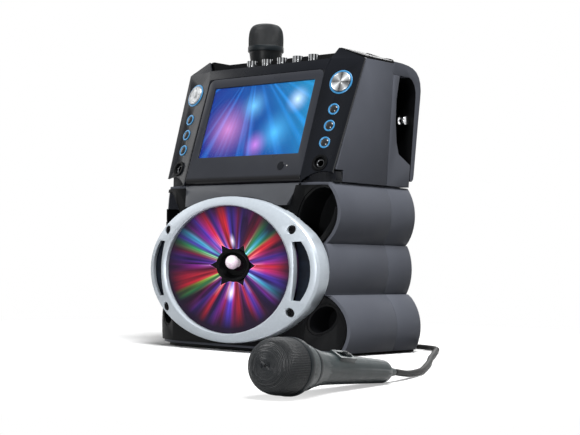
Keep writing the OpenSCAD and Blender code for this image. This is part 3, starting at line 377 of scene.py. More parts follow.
# %% The picture on the screen
SKY = [(0.0, (0.01, 0.03, 0.30)), (0.3, (0.008, 0.05, 0.34)), (0.62, (0.006, 0.10, 0.42)),
       (1.0, (0.02, 0.30, 0.62))]
BEAMS_FROM = (-20, 120)
GLOWS = ((-42, 34, 46, (0.75, 0.24, 0.42)), (34, 26, 34, (0.1, 0.5, 0.75)), (58, 66, 20, (0.8, 0.9, 1.0)),
         (-8, 62, 26, (0.2, 0.6, 0.8)), (8, 12, 22, (0.7, 0.2, 0.6)))
lcd = finish("lcd", (0.02, 0.05, 0.2), 0.25, spec=0.1)
do = sums(lcd)
px, py, _ = face_axes(lcd, on_face(0, 0, 0), turn_to())
sky = ramp_of(lcd, do("DIVIDE", do("ADD", do("ADD", px, 77), do("MULTIPLY", py, 0.5)), 190), SKY)
angle = do("ARCTAN2", do("SUBTRACT", px, BEAMS_FROM[0]), do("SUBTRACT", BEAMS_FROM[1], py))
beams = node(lcd, "ShaderNodeTexNoise", Scale=9.0, Detail=1.0)
beams.noise_dimensions = "1D"
link(lcd, angle, beams.inputs["W"])
beam = do("MULTIPLY", do("SUBTRACT", beams.outputs["Fac"], 0.48), 4, clamp=True)
picture = mix_color(lcd, "ADD", beam, sky, (0.01, 0.12, 0.34))
for cx, cy, radius, color in GLOWS:
    picture = mix_color(lcd, "ADD", glow(lcd, px, py, cx, cy, radius), picture, color)
link(lcd, mix_color(lcd, "MULTIPLY", 1.0, picture, (0.1, 0.1, 0.1)), shader_of(lcd).inputs["Base Color"])
link(lcd, picture, shader_of(lcd).inputs["Emission Color"])
shader_of(lcd).inputs["Emission Strength"].default_value = 0.9
print("picture nodes", len(lcd.node_tree.nodes))

# %% [markdown]
# A clear cover over a bright screen is hard to export as glass, so it is given a low alpha: it
# only adds its gloss to the picture behind it.

# %% The screen's cover
screen_cover = finish("screen_cover", (0.02, 0.03, 0.05), 0.05, spec=0.3, wander=(0.04, 0.07, 40))
shader_of(screen_cover).inputs["Alpha"].default_value = 0.08

# %% [markdown]
# The reflector is a shallow mirror-like cone. The long streaks that coloured lamps in its hub
# throw over it are painted light: emission in the dish's own finish, each streak in its own colour
# and brightness. The angle round the hub picks the colour from a ramp, noise on the same angle
# breaks it into streaks, and the distance from the hub dims them towards the rim.

# %% The painted light streaks of the reflector
reflector = finish("reflector", (0.006, 0.005, 0.009), 0.3, spec=0.06)
do = sums(reflector)
DISH_MIDDLE, DISH_SQUASH, DISH_R = Vector((0, -0.088, 0.0971)), 1.33, 96
rx, ry, _ = face_axes(reflector, DISH_MIDDLE, Matrix(((1, 0, 0), (0, 0, -1), (0, 1, 0))))
flat = do("MULTIPLY", ry, DISH_SQUASH)
around = do("DIVIDE", do("ADD", do("ARCTAN2", flat, rx), math.pi), 2 * math.pi)
away = do("DIVIDE", do("SQRT", do("ADD", do("POWER", rx, 2), do("POWER", flat, 2))), DISH_R)
RED, PINK, PLUM, BLUE = (0.85, 0.025, 0.03), (0.75, 0.03, 0.25), (0.33, 0.03, 0.42), (0.1, 0.05, 0.62)
CYAN, GREEN, LIME, WINE = (0.05, 0.5, 0.75), (0.03, 0.42, 0.12), (0.3, 0.6, 0.04), (0.28, 0.01, 0.04)
LOW_HALF = [(0.0, PLUM), (0.05, WINE), (0.11, RED), (0.145, RED), (0.165, LIME), (0.20, GREEN),
            (0.235, WINE), (0.27, PLUM), (0.30, BLUE), (0.335, WINE), (0.365, RED), (0.39, BLUE),
            (0.43, PLUM), (0.46, WINE), (0.49, BLUE), (0.515, BLUE), (0.535, PINK), (0.57, RED),
            (0.595, WINE), (0.63, PLUM), (0.655, RED), (0.69, BLUE), (0.73, WINE), (0.77, BLUE),
            (0.81, PLUM), (0.845, CYAN), (0.885, BLUE), (0.92, BLUE), (0.955, PINK), (1.0, RED)]
HIGH_HALF = [(0.0, RED), (0.04, PLUM), (0.07, BLUE), (0.11, PINK), (0.145, RED), (0.175, RED),
             (0.20, GREEN), (0.23, CYAN), (0.26, GREEN), (0.30, WINE), (0.335, RED), (0.37, PLUM),
             (0.41, BLUE), (0.44, WINE), (0.475, BLUE), (0.505, BLUE), (0.53, RED), (0.565, RED),
             (0.59, PLUM), (0.62, BLUE), (0.65, RED), (0.68, PINK), (0.715, BLUE), (0.76, PLUM),
             (0.80, CYAN), (0.835, BLUE), (0.865, GREEN), (0.91, WINE), (0.96, BLUE), (1.0, PLUM)]
lower = ramp_of(reflector, do("MULTIPLY", around, 2, clamp=True), LOW_HALF)
upper = ramp_of(reflector, do("SUBTRACT", do("MULTIPLY", around, 2), 1, clamp=True), HIGH_HALF)
hues = mix_color(reflector, "MIX", do("GREATER_THAN", around, 0.5), lower, upper)
print("hues", len(LOW_HALF) + len(HIGH_HALF))

# %% [markdown]
# The reflector's inner edge is cut into six petals, so the dark middle is a star with hollow
# sides. A ping-pong of the angle says how near a point of the star is, a power bends the side,
# and the difference between that edge and the distance from the middle gives both the dark
# inside and a thin line of painted light along the edge.

# %% Painted beams, star and fade
STAR_IN, STAR_REACH, PETALS, EMISSION = 0.262, 0.115, 6, 1.6
# Two round spots of painted light on the dish
PAINTED_LIGHT_SPOTS = ((37, 5.5), (-42, 7))
FADE = [(0.0, 0.9), (0.36, 1.0), (0.55, 0.85), (0.75, 0.5), (0.9, 0.2), (0.97, 0.07), (1.0, 0.01)]
# Painted hot cores of the streaks near the hub
HOT = [(0.0, 0.7), (0.34, 0.6), (0.56, 0.0)]


def grey_ramp(stops):
    return ramp_of(reflector, away, [(place, (tone, tone, tone)) for place, tone in stops])


def beam_noise(scale, spread):
    noise = node(reflector, "ShaderNodeTexNoise", Scale=scale, Detail=1.0, Roughness=0.6)
    noise.noise_dimensions = "2D"
    at = node(reflector, "ShaderNodeCombineXYZ")
    link(reflector, around, at.inputs["X"])
    link(reflector, do("MULTIPLY", away, spread), at.inputs["Y"])
    link(reflector, at.outputs["Vector"], noise.inputs["Vector"])
    return noise.outputs["Fac"]


def blend_light(kind, a, b, share=1.0):
    return mix_color(reflector, kind, share, a, b)


wide = do("MULTIPLY", do("SUBTRACT", beam_noise(30.0, 0.03), 0.33), 3.2, clamp=True)
fine = do("ADD", do("MULTIPLY", beam_noise(110.0, 0.01), 0.8), 0.25, clamp=True)
painted_light_streaks = do("MULTIPLY", do("ADD", do("MULTIPLY", wide, 0.9), 0.08), fine)
point_near = do("PINGPONG", do("ADD", do("MULTIPLY", around, 2 * PETALS), 1), 1)
edge = do("ADD", do("MULTIPLY", do("POWER", point_near, 3.0), STAR_REACH), STAR_IN)
past = do("SUBTRACT", away, edge)
outside = do("MULTIPLY", do("ADD", past, 0.004), 120, clamp=True)
rim_line = do("SUBTRACT", 1, do("MULTIPLY", do("ABSOLUTE", past), 130), clamp=True)
light = blend_light("MULTIPLY", blend_light("MULTIPLY", hues, painted_light_streaks), grey_ramp(FADE))
light = blend_light("ADD", light, blend_light("MULTIPLY", grey_ramp(HOT), do("POWER", painted_light_streaks, 4.0)))
for drop_y, size in PAINTED_LIGHT_SPOTS:
    drop = glow(reflector, rx, do("MULTIPLY", flat, 0.4), 0, drop_y * 0.4, size)
    light = blend_light("ADD", light, (0.75, 0.7, 0.8), drop)
light = blend_light("MULTIPLY", light, outside)
painted_rim_glow = do("MULTIPLY", rim_line, do("ADD", do("MULTIPLY", wide, 1.3), 0.1))
rim_hues = blend_light("ADD", hues, (0.1, 0.12, 0.15))
light = blend_light("ADD", light, blend_light("MULTIPLY", rim_hues, painted_rim_glow))
# A faint painted glow over the dish outside the star
painted_haze = blend_light("MULTIPLY", (0.007, 0.004, 0.011), outside)
link(reflector, blend_light("ADD", light, painted_haze), shader_of(reflector).inputs["Emission Color"])
shader_of(reflector).inputs["Emission Strength"].default_value = EMISSION
tint(reflector, (0.004, 0.003, 0.006), (0.008, 0.006, 0.010), 20)
add_grain(reflector, 2.5, 0.004)
print("streak nodes", len(reflector.node_tree.nodes))

# %% [markdown]
# Every solid now takes the finish that its record slot names. Later cells replace some of the
# solids by finer pieces, which take the same finishes.

# %% Dress the solids
BY_SLOT = {m.name: m for m in (
    satin_shell, black_plastic, gloss_black, grey_panel, silver_paint, rubber, chrome_trim, dark_screws,
    board_green, iron, cone_paper, white_plastic, sled_brass, mic_black, mic_grey, dark_mesh, blue_light,
    clear_ball, brushed_dial, lcd, screen_cover, reflector)}
SLOT_OF = {s["node"]: s["material_slot"] for s in frame["record"]["subparts"]}


def dress(obj, mat):
    obj.data.materials.clear()
    obj.data.materials.append(mat)


for name, obj in frame["nodes"].items():
    dress(obj, BY_SLOT[SLOT_OF[name]])
dress(frame["nodes"]["slot_meshes"], slot_navy)
print("dressed", len(SLOT_OF))

# %% [markdown]
# The lead is about 2.6 m of limp 6 mm cable. It leaves the strain relief of the lying microphone,
# runs in one easy curve past the machine's right side and ends in a neat two-layer coil behind
# it, held by a strap, with its plug alongside. The route repeats the points of the solids.

# %% Route of the lead
LAY, TURNS, MID = 6.8, 3.75, 36.0
COIL_X, COIL_Y, COIL_Z = 20.0, 165.0, 4.5
OUT_R = MID + LAY * (TURNS + 0.5) / 2
LEAD_R, PLUG_R = 3.0, 5.4
# The lying microphone rests on its band and on the end of its handle
LYING_X, LYING_Y = 385, -452
BAND_R, BAND_U, HANDLE_R, HANDLE_U = 22.8, 33, 10, 188 - 4
mic_tilt = math.asin((BAND_R - HANDLE_R) / (HANDLE_U - BAND_U))
mic_turn = math.radians(99)
mic_height = BAND_R / math.cos(mic_tilt) + BAND_U * math.sin(mic_tilt) + 0.02


def lying(u):
    """The point u millimetres behind the front of the lying microphone."""
    return Vector((LYING_X + u * math.cos(mic_turn) * math.cos(mic_tilt),
                   LYING_Y + u * math.sin(mic_turn) * math.cos(mic_tilt),
                   mic_height - u * math.sin(mic_tilt)))


def ease(t):
    t = min(max(t, 0), 1)
    return t * t * (3 - 2 * t)


def coil_radius(k):
    if k < TURNS:
        return OUT_R - LAY * k
    if k < TURNS + 0.5:
        return OUT_R - LAY * TURNS - LAY * ease((k - TURNS) * 4)
    return OUT_R - LAY * (TURNS + 1) + LAY * (k - TURNS - 0.5)


def coil_point(k):
    a = math.radians(-90 - 360 * k)
    return Vector((COIL_X + coil_radius(k) * math.cos(a), COIL_Y + coil_radius(k) * math.sin(a),
                   COIL_Z + LAY * ease((k - TURNS - 0.25) * 4)))


z = LEAD_R + 0.1
route = [lying(200), lying(206.4), lying(212)] + [Vector(p) for p in (
    (342, -212, z + 1), (325, -170, z), (299, -125, z), (268, -75, z), (234, -24, z), (204, 24, z),
    (176, 68, z), (155, 101, z), (132, 118, z), (96, 121, z + 0.4), (60, 117, z + 1),
    (COIL_X + 24, COIL_Y - OUT_R, COIL_Z), (COIL_X + 6.2, COIL_Y - OUT_R, COIL_Z),
    (COIL_X, COIL_Y - OUT_R, COIL_Z))]
SPAN_STEPS, TURN_STEPS = 4, 24
line = []
for a, b, c, d in zip(route, route[1:], route[2:], route[3:]):
    for k in range(SPAN_STEPS):
        t = k / SPAN_STEPS
        line.append(0.5 * (2 * b + (c - a) * t + (2 * a - 5 * b + 4 * c - d) * t * t
                           + (3 * b - a - 3 * c + d) * t ** 3))
total = 2 * TURNS + 1.5
line += [coil_point(k / TURN_STEPS) for k in range(int(TURN_STEPS * total) + 1)]
tail = coil_point(total)
drop = COIL_Z + LAY - PLUG_R - 0.1
line += [tail + Vector((-s, 0, -drop * ease((s - 10) / 40))) for s in (10, 18, 26, 34, 42, 50, 56, 62)]

# %% The lead itself
curve = bpy.data.curves.new("mic_lead", "CURVE")
curve.dimensions = "3D"
curve.bevel_depth = LEAD_R * MM
curve.bevel_resolution = 3
curve.use_fill_caps = True
spline = curve.splines.new("POLY")
spline.points.add(len(line) - 1)
for point, place in zip(spline.points, line):
    point.co = (*(place * MM), 1)
spline.use_smooth = True
mic_lead = bpy.data.objects.new("mic_lead", curve)
scene.collection.objects.link(mic_lead)
mic_lead.data.materials.append(rubber)
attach(mic_lead, "machine")
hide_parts("mic_cord", "mic_cord_coil")

# %% [markdown]
# Moulded shells never have knife edges. The solids' meshes are loose triangles, so a copy of a
# solid is merged first, its flat regions are joined again, and then a narrow bevel rounds every
# sharp edge. Shading by angle keeps lobes smooth and edges crisp.

# %% Rounded copies of the shells
BODY_OF = {n: body for body, names in frame["record"]["behaviour"]["bodies"].items() for n in names}


def only(obj):
    bpy.ops.object.select_all(action="DESELECT")
    bpy.context.view_layer.objects.active = obj
    obj.select_set(True)


def apply_all(obj):
    only(obj)
    for modifier in list(obj.modifiers):
        bpy.ops.object.modifier_apply(modifier=modifier.name)


def stand_for(obj, mat, *names, body=None):
    """The finished piece takes a finish, rides on its body and stands for some solids."""
    dress(obj, mat)
    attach(obj, body or BODY_OF[names[0]])
    if names:
        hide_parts(*names)


def rounded(name, width, mat=None, join_flats=True):
    """A copy of a solid with its sharp edges rounded, width in millimetres."""
    obj = bpy.data.objects.new(name + "_rounded", frame["nodes"][name].data.copy())
    scene.collection.objects.link(obj)
    only(obj)
    bpy.ops.object.mode_set(mode="EDIT")
    bpy.ops.mesh.select_all(action="SELECT")
    bpy.ops.mesh.remove_doubles(threshold=0.00002)
    if join_flats:
        bpy.ops.mesh.dissolve_limited(angle_limit=math.radians(0.6))
    bpy.ops.object.mode_set(mode="OBJECT")
    bevel = obj.modifiers.new("edge_round", "BEVEL")
    bevel.width, bevel.segments = width * MM, 2
    bevel.limit_method, bevel.angle_limit = "ANGLE", math.radians(32)
    apply_all(obj)
    bpy.ops.object.shade_smooth_by_angle(angle=math.radians(28))
    stand_for(obj, BY_SLOT[SLOT_OF[name]], name)
    if mat:
        dress(obj, mat)
    return obj


EDGES = {"front_cabinet": 0.5, "rear_cabinet": 0.3, "head_front_shell": 0.5, "head_rear_shell": 0.6,
         "rear_arch": 1.2, "fascia": 0.4, "door_frame": 0.6, "top_deck": 0.6, "front_baffle": 0.5,
         "port_cups": 0.5, "lower_panel": 0.5, "ring_bezel": 0.5, "mic_cups": 0.6, "base_tray": 0.5,
         "power_switch": 0.3, "rear_jacks": 0.2}
OWN_FINISH = {"door_frame": door_slate}
for name, width in EDGES.items():
    piece = rounded(name, width, mat=OWN_FINISH.get(name), join_flats=name != "rear_cabinet")
    print(piece.name, len(piece.data.polygons))

# %% [markdown]
# Inside the grip at the back of the head the recess is painted black as shade: the hollow rear
# wall of the head and the inner side of the arch. Those faces are found by their normal and
# height, and take a second finish on the same piece.

# %% Painted shade inside the grip
grip_shade_walls = (("head_rear_shell_rounded", lambda n, c: n.y > 0.3 and c.z > 0.214),
              ("rear_arch_rounded", lambda n, c: c.z < 0.3185 and (n.y < -0.3 or n.z < -0.3)))
for name, inside in grip_shade_walls:
    wall = bpy.data.objects[name]
    # black_plastic on these faces is painted shade in the recess
    wall.data.materials.append(black_plastic)
    for face in wall.data.polygons:
        if inside(face.normal, face.center):
            face.material_index = 1
    print(name, sum(face.material_index for face in wall.data.polygons), "black faces")

# %% [markdown]
# Round pieces are turned, as on a lathe: a profile is drawn as a chain of edges and spun about its
# axis. The doubles on the axis and at the seam are merged, and only then are the faces turned
# outwards, because a spin can leave them inside out.

# %% A lathe and a seat for small pieces
def seat(place, turn=None):
    """Carries a piece made at the origin, with its axis up Z, to its place in the frame."""
    return Matrix.Translation(place) @ (turn or Matrix.Identity(3)).to_4x4()


def turned(name, profile, steps=48, ring=False):
    """Spins (radius, height) points in millimetres; a ring's profile closes on itself."""
    mesh = bpy.data.meshes.new(name)
    edges = [(k, k + 1) for k in range(len(profile) - 1)] + ([(len(profile) - 1, 0)] if ring else [])
    mesh.from_pydata([(r * MM, 0, h * MM) for r, h in profile], edges, [])
    obj = bpy.data.objects.new(name, mesh)
    scene.collection.objects.link(obj)
    only(obj)
    bpy.ops.object.mode_set(mode="EDIT")
    bpy.ops.mesh.select_all(action="SELECT")
    bpy.ops.mesh.spin(steps=steps, angle=2 * math.pi, center=(0, 0, 0), axis=(0, 0, 1))
    bpy.ops.mesh.select_all(action="SELECT")
    bpy.ops.mesh.remove_doubles(threshold=0.00001)
    bpy.ops.mesh.normals_make_consistent(inside=False)
    bpy.ops.object.mode_set(mode="OBJECT")
    bpy.ops.object.shade_smooth_by_angle(angle=math.radians(35))
    return obj


def joined(name, parts):
    """Several meshes become one piece, which keeps each part's finish."""
    only(parts[0])
    for part in parts[1:]:
        part.select_set(True)
    bpy.ops.object.join()
    parts[0].name = name
    return parts[0]


# %% [markdown]
# Each key sits in a ring of blue light. On the real machine that is a thin moulded light guide
# with soft edges, so the eight rings are turned with a small chamfer and joined into one piece.

# %% Rings of light round the keys
DIAL_AT, DIAL_R, KEY_R, KEY_GAP = (24.8, 83.6), 12.0, 4.7, 0.3
KEYS_AT = ((23.2, 50.7), (22.5, 30.8), (21.3, 10.6))
rings = []
for side in (-1, 1):
    for (u, s), r, w in [(DIAL_AT, DIAL_R, 2.1)] + [(at, KEY_R, 1.8) for at in KEYS_AT]:
        a, b = r + KEY_GAP, r + KEY_GAP + w
        guide = turned("guide", [(a, 0), (b, 0), (b, 0.35), (b - 0.4, 0.6), (a + 0.4, 0.6), (a, 0.35)],
                       56, ring=True)
        guide.data.transform(seat(on_column(side, u, s, 0), turn_to(side)))
        rings.append(guide)
stand_for(joined("light_guides", rings), blue_light, "light_rings")
print("rings of light", len(rings))

# %% [markdown]
# The keys are small polished domes. Each is turned with a low crown and a rounded shoulder, so a
# lamp always finds a place on it to glint.

# %% Six domed keys
key_gloss = finish("key_gloss", (0.004, 0.004, 0.005), 0.1, spec=0.4, wander=(0.08, 0.14, 3),
                   grain=(1.2, 0.002))
crown, height, inner = [(0, 1.77)], 1.77, 0
for radius, slope in ((1.1, 3), (2.0, 9), (2.7, 17), (3.4, 22), (4.0, 26), (4.4, 31), (KEY_R, 43)):
    height -= (radius - inner) * math.tan(math.radians(slope))
    crown.insert(0, (radius, height))
    inner = radius
for side, letter in ((-1, "l"), (1, "r")):
    for i, (u, s) in enumerate(KEYS_AT):
        key = turned(f"key_{letter}{i + 1}", [(0, -4), (KEY_R, -4)] + crown, 40)
        key.data.transform(seat(on_column(side, u, s, 0), turn_to(side)))
        stand_for(key, key_gloss, f"button_{letter}{i + 1}")
print("keys done")

# %% [markdown]
# The two dials are spun aluminium. Turning marks on such a disc throw light back in fans, bright
# and dark by turns; here those fans are painted highlight and shade in the base colour. The
# finish takes the angle round the disc from a flat UV map of its own and reads the tone of each
# painted fan from a ramp. Fine rings of noise stand for the turning marks.

# %% Painted fans of light and shade on spun metal
def spun_metal_painted_fans(name, tones):
    mat = finish(name, (0.7, 0.72, 0.75), 0.3, metal=0.6)
    uv = node(mat, "ShaderNodeUVMap")
    uv.uv_map = "disc"
    split = node(mat, "ShaderNodeSeparateXYZ")
    link(mat, uv.outputs["UV"], split.inputs["Vector"])
    do = sums(mat)
    x, y = do("SUBTRACT", split.outputs["X"], 0.5), do("SUBTRACT", split.outputs["Y"], 0.5)
    turn = do("DIVIDE", do("ADD", do("ARCTAN2", y, x), math.pi), 2 * math.pi)
    last = len(tones) - 1
    # Painted highlight and shade fans go into the base colour
    painted_fans = ramp_of(mat, turn, [(k / last, (t * 0.97, t, t * 1.02)) for k, t in enumerate(tones)])
    far = do("SQRT", do("ADD", do("POWER", x, 2), do("POWER", y, 2)))
    rings = node(mat, "ShaderNodeTexNoise", Scale=160.0, Detail=1.0)
    rings.noise_dimensions = "1D"
    link(mat, far, rings.inputs["W"])
    link(mat, map_range(mat, rings.outputs["Fac"], 0, 1, 0.2, 0.4), shader_of(mat).inputs["Roughness"])
    shade = mix_color(mat, "MULTIPLY", 0.25, painted_fans, rings.outputs["Color"])
    link(mat, shade, shader_of(mat).inputs["Base Color"])
    bump_from(mat, rings.outputs["Fac"], 0.6, 0.02)
    return mat


# Tones of the painted highlight and shade fans round each dial
spun_right_painted_fans = spun_metal_painted_fans("spun_right_painted_fans", [0.12, 0.5, 1.0, 0.45, 0.06, 0.25, 0.6, 0.2, 0.06, 0.5, 1.0, 0.5,
                                       0.06, 0.3, 0.6, 0.25, 0.12])
spun_left_painted_fans = spun_metal_painted_fans("spun_left_painted_fans", [0.4, 0.5, 0.36, 0.44, 0.55, 0.42, 0.3, 0.42, 0.4, 0.5, 0.35, 0.5,
                                     0.55, 0.36, 0.4, 0.4])

# %% Two dials with marks
DIAL = [(0, -4), (DIAL_R, -4), (DIAL_R, 1.1), (11.8, 1.6), (11.4, 1.95), (11.0, 2.0), (10.7, 1.8),
        (10.3, 1.7), (7, 1.6), (3.4, 1.55), (3.1, 1.75), (2.8, 1.85), (0, 1.9)]
MARK_AT = Vector((8.4, 0, 1.62)) * MM
for side, word, mat in ((-1, "left", spun_left_painted_fans), (1, "right", spun_right_painted_fans)):
    disc = turned(f"{word}_disc", DIAL, 72)
    flat = disc.data.uv_layers.new(name="disc")
    for loop in disc.data.loops:
        place = disc.data.vertices[loop.vertex_index].co
        flat.data[loop.index].uv = (place.x / (2 * DIAL_R * MM) + 0.5, place.y / (2 * DIAL_R * MM) + 0.5)
    dress(disc, mat)
    marks = [disc]
    for k in range(4):
        bpy.ops.object.select_all(action="DESELECT")
        bpy.ops.mesh.primitive_cylinder_add(vertices=3, radius=0.95 * MM, depth=0.3 * MM)
        mark = bpy.context.active_object
        mark.data.transform(Matrix.Rotation(math.radians(90 * k), 4, "Z")
                            @ Matrix.Translation(MARK_AT) @ Matrix.Rotation(math.radians(-90), 4, "Z"))
        dress(mark, rubber)
        marks.append(mark)
    dial = joined(f"{word}_dial_disc", marks)
    dial.data.transform(seat(on_column(side, *DIAL_AT, 0), turn_to(side)))
    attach(dial, BODY_OF[f"{word}_dial"])
    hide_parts(f"{word}_dial")
    print(dial.name, len(dial.data.polygons))

# %% [markdown]
# A microphone socket is a black flange with a deep well, and a steel washer round its bore.

# %% Two sockets
SOCKET_AT = (21, -13.5)
FLANGE = [(0, -16), (8.3, -16), (8.3, -0.3), (9.6, -0.3), (9.6, 0.6), (9.3, 1.05), (8.8, 1.2), (7.2, 1.2),
          (6.7, 0.95), (6.4, 0.4), (6.4, -3), (3.2, -3), (3.2, -14), (0, -14)]
WASHER = [(3.25, -3), (5.0, -3), (5.0, -1.9), (4.7, -1.5), (4.1, -1.5), (3.6, -1.8), (3.25, -2.3)]
flanges, washers = [], []
for side in (-1, 1):
    flange = turned("flange", FLANGE, 56)
    washer = turned("washer", WASHER, 48, ring=True)
    for part in (flange, washer):
        part.data.transform(seat(on_column(side, *SOCKET_AT, 0), turn_to(side)))
    flanges.append(flange)
    washers.append(washer)
stand_for(joined("socket_flanges", flanges), black_plastic, "mic_jacks")
bright = joined("socket_washers", washers)
dress(bright, socket_steel)
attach(bright, BODY_OF["mic_jacks"])
print("sockets done")

# %% [markdown]
# The five level knobs on top are chrome-plated and fluted. One knob starts as a cylinder: every
# second side face is inset and sunk for a flute, the top is inset twice for a rim and a shallow
# dish, and a bevel rounds all edges. The flutes are left black, as unplated plastic is.

# %% One knob, copied five times
KNOB_R, KNOB_H = 6.3, 13.6
KNOB_STEP, KNOB_Y, KNOB_Z = 24.4, -4.9, 331
bpy.ops.object.select_all(action="DESELECT")
bpy.ops.mesh.primitive_cylinder_add(vertices=20, radius=KNOB_R * MM, depth=KNOB_H * MM,
                                    location=(0, 0, KNOB_H / 2 * MM))
knob = bpy.context.active_object
knob.data.materials.append(knob_plate)
knob.data.materials.append(gloss_black)
bpy.ops.object.transform_apply(location=True, rotation=True, scale=True)
only(knob)
bpy.ops.object.mode_set(mode="EDIT")
bpy.ops.mesh.select_mode(type="FACE")
bm = bmesh.from_edit_mesh(knob.data)
sides = [f for f in bm.faces if abs(f.normal.z) < 0.1]
sides.sort(key=lambda f: math.atan2(f.calc_center_median().y, f.calc_center_median().x))
for f in bm.faces:
    f.select_set(False)
for f in sides[::2]:
    f.select_set(True)
    f.material_index = 1
bmesh.update_edit_mesh(knob.data)
bpy.ops.mesh.inset(use_individual=True, thickness=0.00012, depth=-0.0006)
bm = bmesh.from_edit_mesh(knob.data)
for f in bm.faces:
    f.select_set(f.normal.z > 0.9 and f.calc_center_median().z > 13 * MM)
bmesh.update_edit_mesh(knob.data)
bpy.ops.mesh.inset(thickness=0.0009, depth=0.0)
bpy.ops.mesh.inset(thickness=0.0008, depth=-0.0007)
bpy.ops.object.mode_set(mode="OBJECT")
bevel = knob.modifiers.new("edges", "BEVEL")
bevel.width, bevel.segments = 0.00018, 2
bevel.limit_method, bevel.angle_limit = "ANGLE", math.radians(40)
apply_all(knob)
bpy.ops.object.shade_smooth_by_angle(angle=math.radians(30))
for i in range(5):
    copy = bpy.data.objects.new(f"level_knob_{i + 1}", knob.data.copy())
    scene.collection.objects.link(copy)
    copy.data.transform(Matrix.Translation(Vector(((i - 2) * KNOB_STEP, KNOB_Y, KNOB_Z)) * MM))
    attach(copy, BODY_OF[f"knob_{i + 1}"])
    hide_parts(f"knob_{i + 1}")
bpy.data.objects.remove(knob)
print("five knobs")

# %% [markdown]
# The remote control's receiver is a round dark window in the lower strip of the door, with a tiny
# pilot lamp at its side.

# %% Receiver window and pilot lamp
RECEIVER_AT, PILOT_AT = (57.6, -16.6), (66.8, -16.7)
window = turned("receiver_window", [(0, -0.4), (5.1, -0.4), (5.1, 0.15), (4.9, 0.35), (4.5, 0.4),
                                    (2, 0.45), (0, 0.46)], 48)
window.data.transform(seat(on_face(*RECEIVER_AT, 0), turn_to()))
stand_for(window, gloss_black, body=BODY_OF["door_frame"])
pilot = turned("pilot_lamp", [(0, -0.3), (0.75, -0.3), (0.75, 0.1), (0.5, 0.3), (0, 0.36)], 24)
pilot.data.transform(seat(on_face(*PILOT_AT, 0), turn_to()))
stand_for(pilot, white_plastic, body=BODY_OF["door_frame"])

# %% [markdown]
# The microphones' heads are woven wire over dark foam. The wire is real geometry: the head's
# profile is spun into a fine grid of four-sided faces, and a Wireframe modifier keeps only a thin
# bar along every edge. A small cap closes the pole, where the wires meet. The foam is the same
# profile, a little smaller. A moulded band clamps the two wire cups together, and a hoop holds
# them on the handle.

# %% Wire heads of the microphones
HEAD = [(0, 0), (5, 0.25), (10, 0.9), (14.5, 2.0), (17.4, 3.6), (19.6, 6.3), (21.0, 9.6), (21.8, 13.5),
        (22.2, 18), (22.3, 23), (22.2, 30)]
NECK = [(21.1, 36.3), (20.4, 41), (19.6, 46), (18.3, 51.5)]
POLE = [(0, -0.8), (1.9, -0.8), (1.9, -0.35), (1.2, -0.1), (0, 0)]
FOAM = [(0, -0.7)] + [(max(r - 0.9, 0), -h - 0.5) for r, h in HEAD[1:]] + [(20.5, -34), (0, -34)]
BAND = [(21.6, -29.6), (22.5, -29.6), (BAND_R, -30.1), (BAND_R, -35.6), (22.5, -36.2), (21.0, -36.4),
        (20.6, -36.0)]
HOOP = [(17.6, -51.2), (18.5, -51.0), (18.7, -51.6), (16.9, -58.3), (16.2, -58.6)]
WIRE_PITCH, WIRE_THICK = 1.25, 0.5
STORED_AT = (-88.5, 63, 404)
SWITCH_TURN = 60


def even_profile(points, pitch):
    """The same profile with a point every pitch millimetres along it."""
    result, left = [points[0]], pitch
    for (r0, h0), (r1, h1) in zip(points, points[1:]):
        span = math.hypot(r1 - r0, h1 - h0)
        at = left
        while at < span:
            result.append((r0 + (r1 - r0) * at / span, h0 + (h1 - h0) * at / span))
            at += pitch
        left = at - span
    return result + [points[-1]]


def wire_cup(name, points, steps):
    profile = [(r - 0.25, -h - 0.25 if h < 1 else -h) for r, h in even_profile(points, WIRE_PITCH)]
    profile[0] = (max(profile[0][0], 0), profile[0][1])
    cup = turned(name, profile, steps)
    cup.modifiers.new("wires", "WIREFRAME").thickness = WIRE_THICK * MM
    apply_all(cup)
    bpy.ops.object.shade_smooth_by_angle(angle=math.radians(60))
    return cup


stored_place = Matrix.Translation(Vector(STORED_AT) * MM) @ Matrix.Rotation(math.pi, 4, "Z")
lying_place = (Matrix.Translation(Vector((LYING_X, LYING_Y, 0)) * MM) @ Matrix.Rotation(mic_turn, 4, "Z")
               @ Matrix.Translation((0, 0, mic_height * MM))
               @ Matrix.Rotation(math.radians(-90) + mic_tilt, 4, "Y")
               @ Matrix.Rotation(math.radians(180 + SWITCH_TURN), 4, "Z"))
for word, place in (("front", lying_place), ("stored", stored_place)):
    pole = turned("pole", POLE, 24)
    cups = [wire_cup("cup", HEAD, 108), wire_cup("collar", NECK, 100)]
    wires = joined(f"{word}_head_wires", [*cups, pole])
    foam = turned(f"{word}_head_foam", FOAM, 64)
    band = turned(f"{word}_head_band", BAND, 72, ring=True)
    hoop = turned(f"{word}_neck_hoop", HOOP, 64, ring=True)
    body = BODY_OF[f"{word}_mic_grille"]
    for part, mat in ((wires, dark_mesh), (foam, rubber), (band, mic_grey), (hoop, mic_grey)):
        part.data.transform(place)
        dress(part, mat)
        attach(part, body)
    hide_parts(f"{word}_mic_grille")
    rounded(f"{word}_mic_handle", 0.35, mat=mic_jet if word == "stored" else None)
    print(word, "microphone:", len(wires.data.polygons), "wire faces")

# %% [markdown]
# In the recess of each side a plated stud, to wind a lead on, stands on a black neck that sticks
# out of the inner wall.

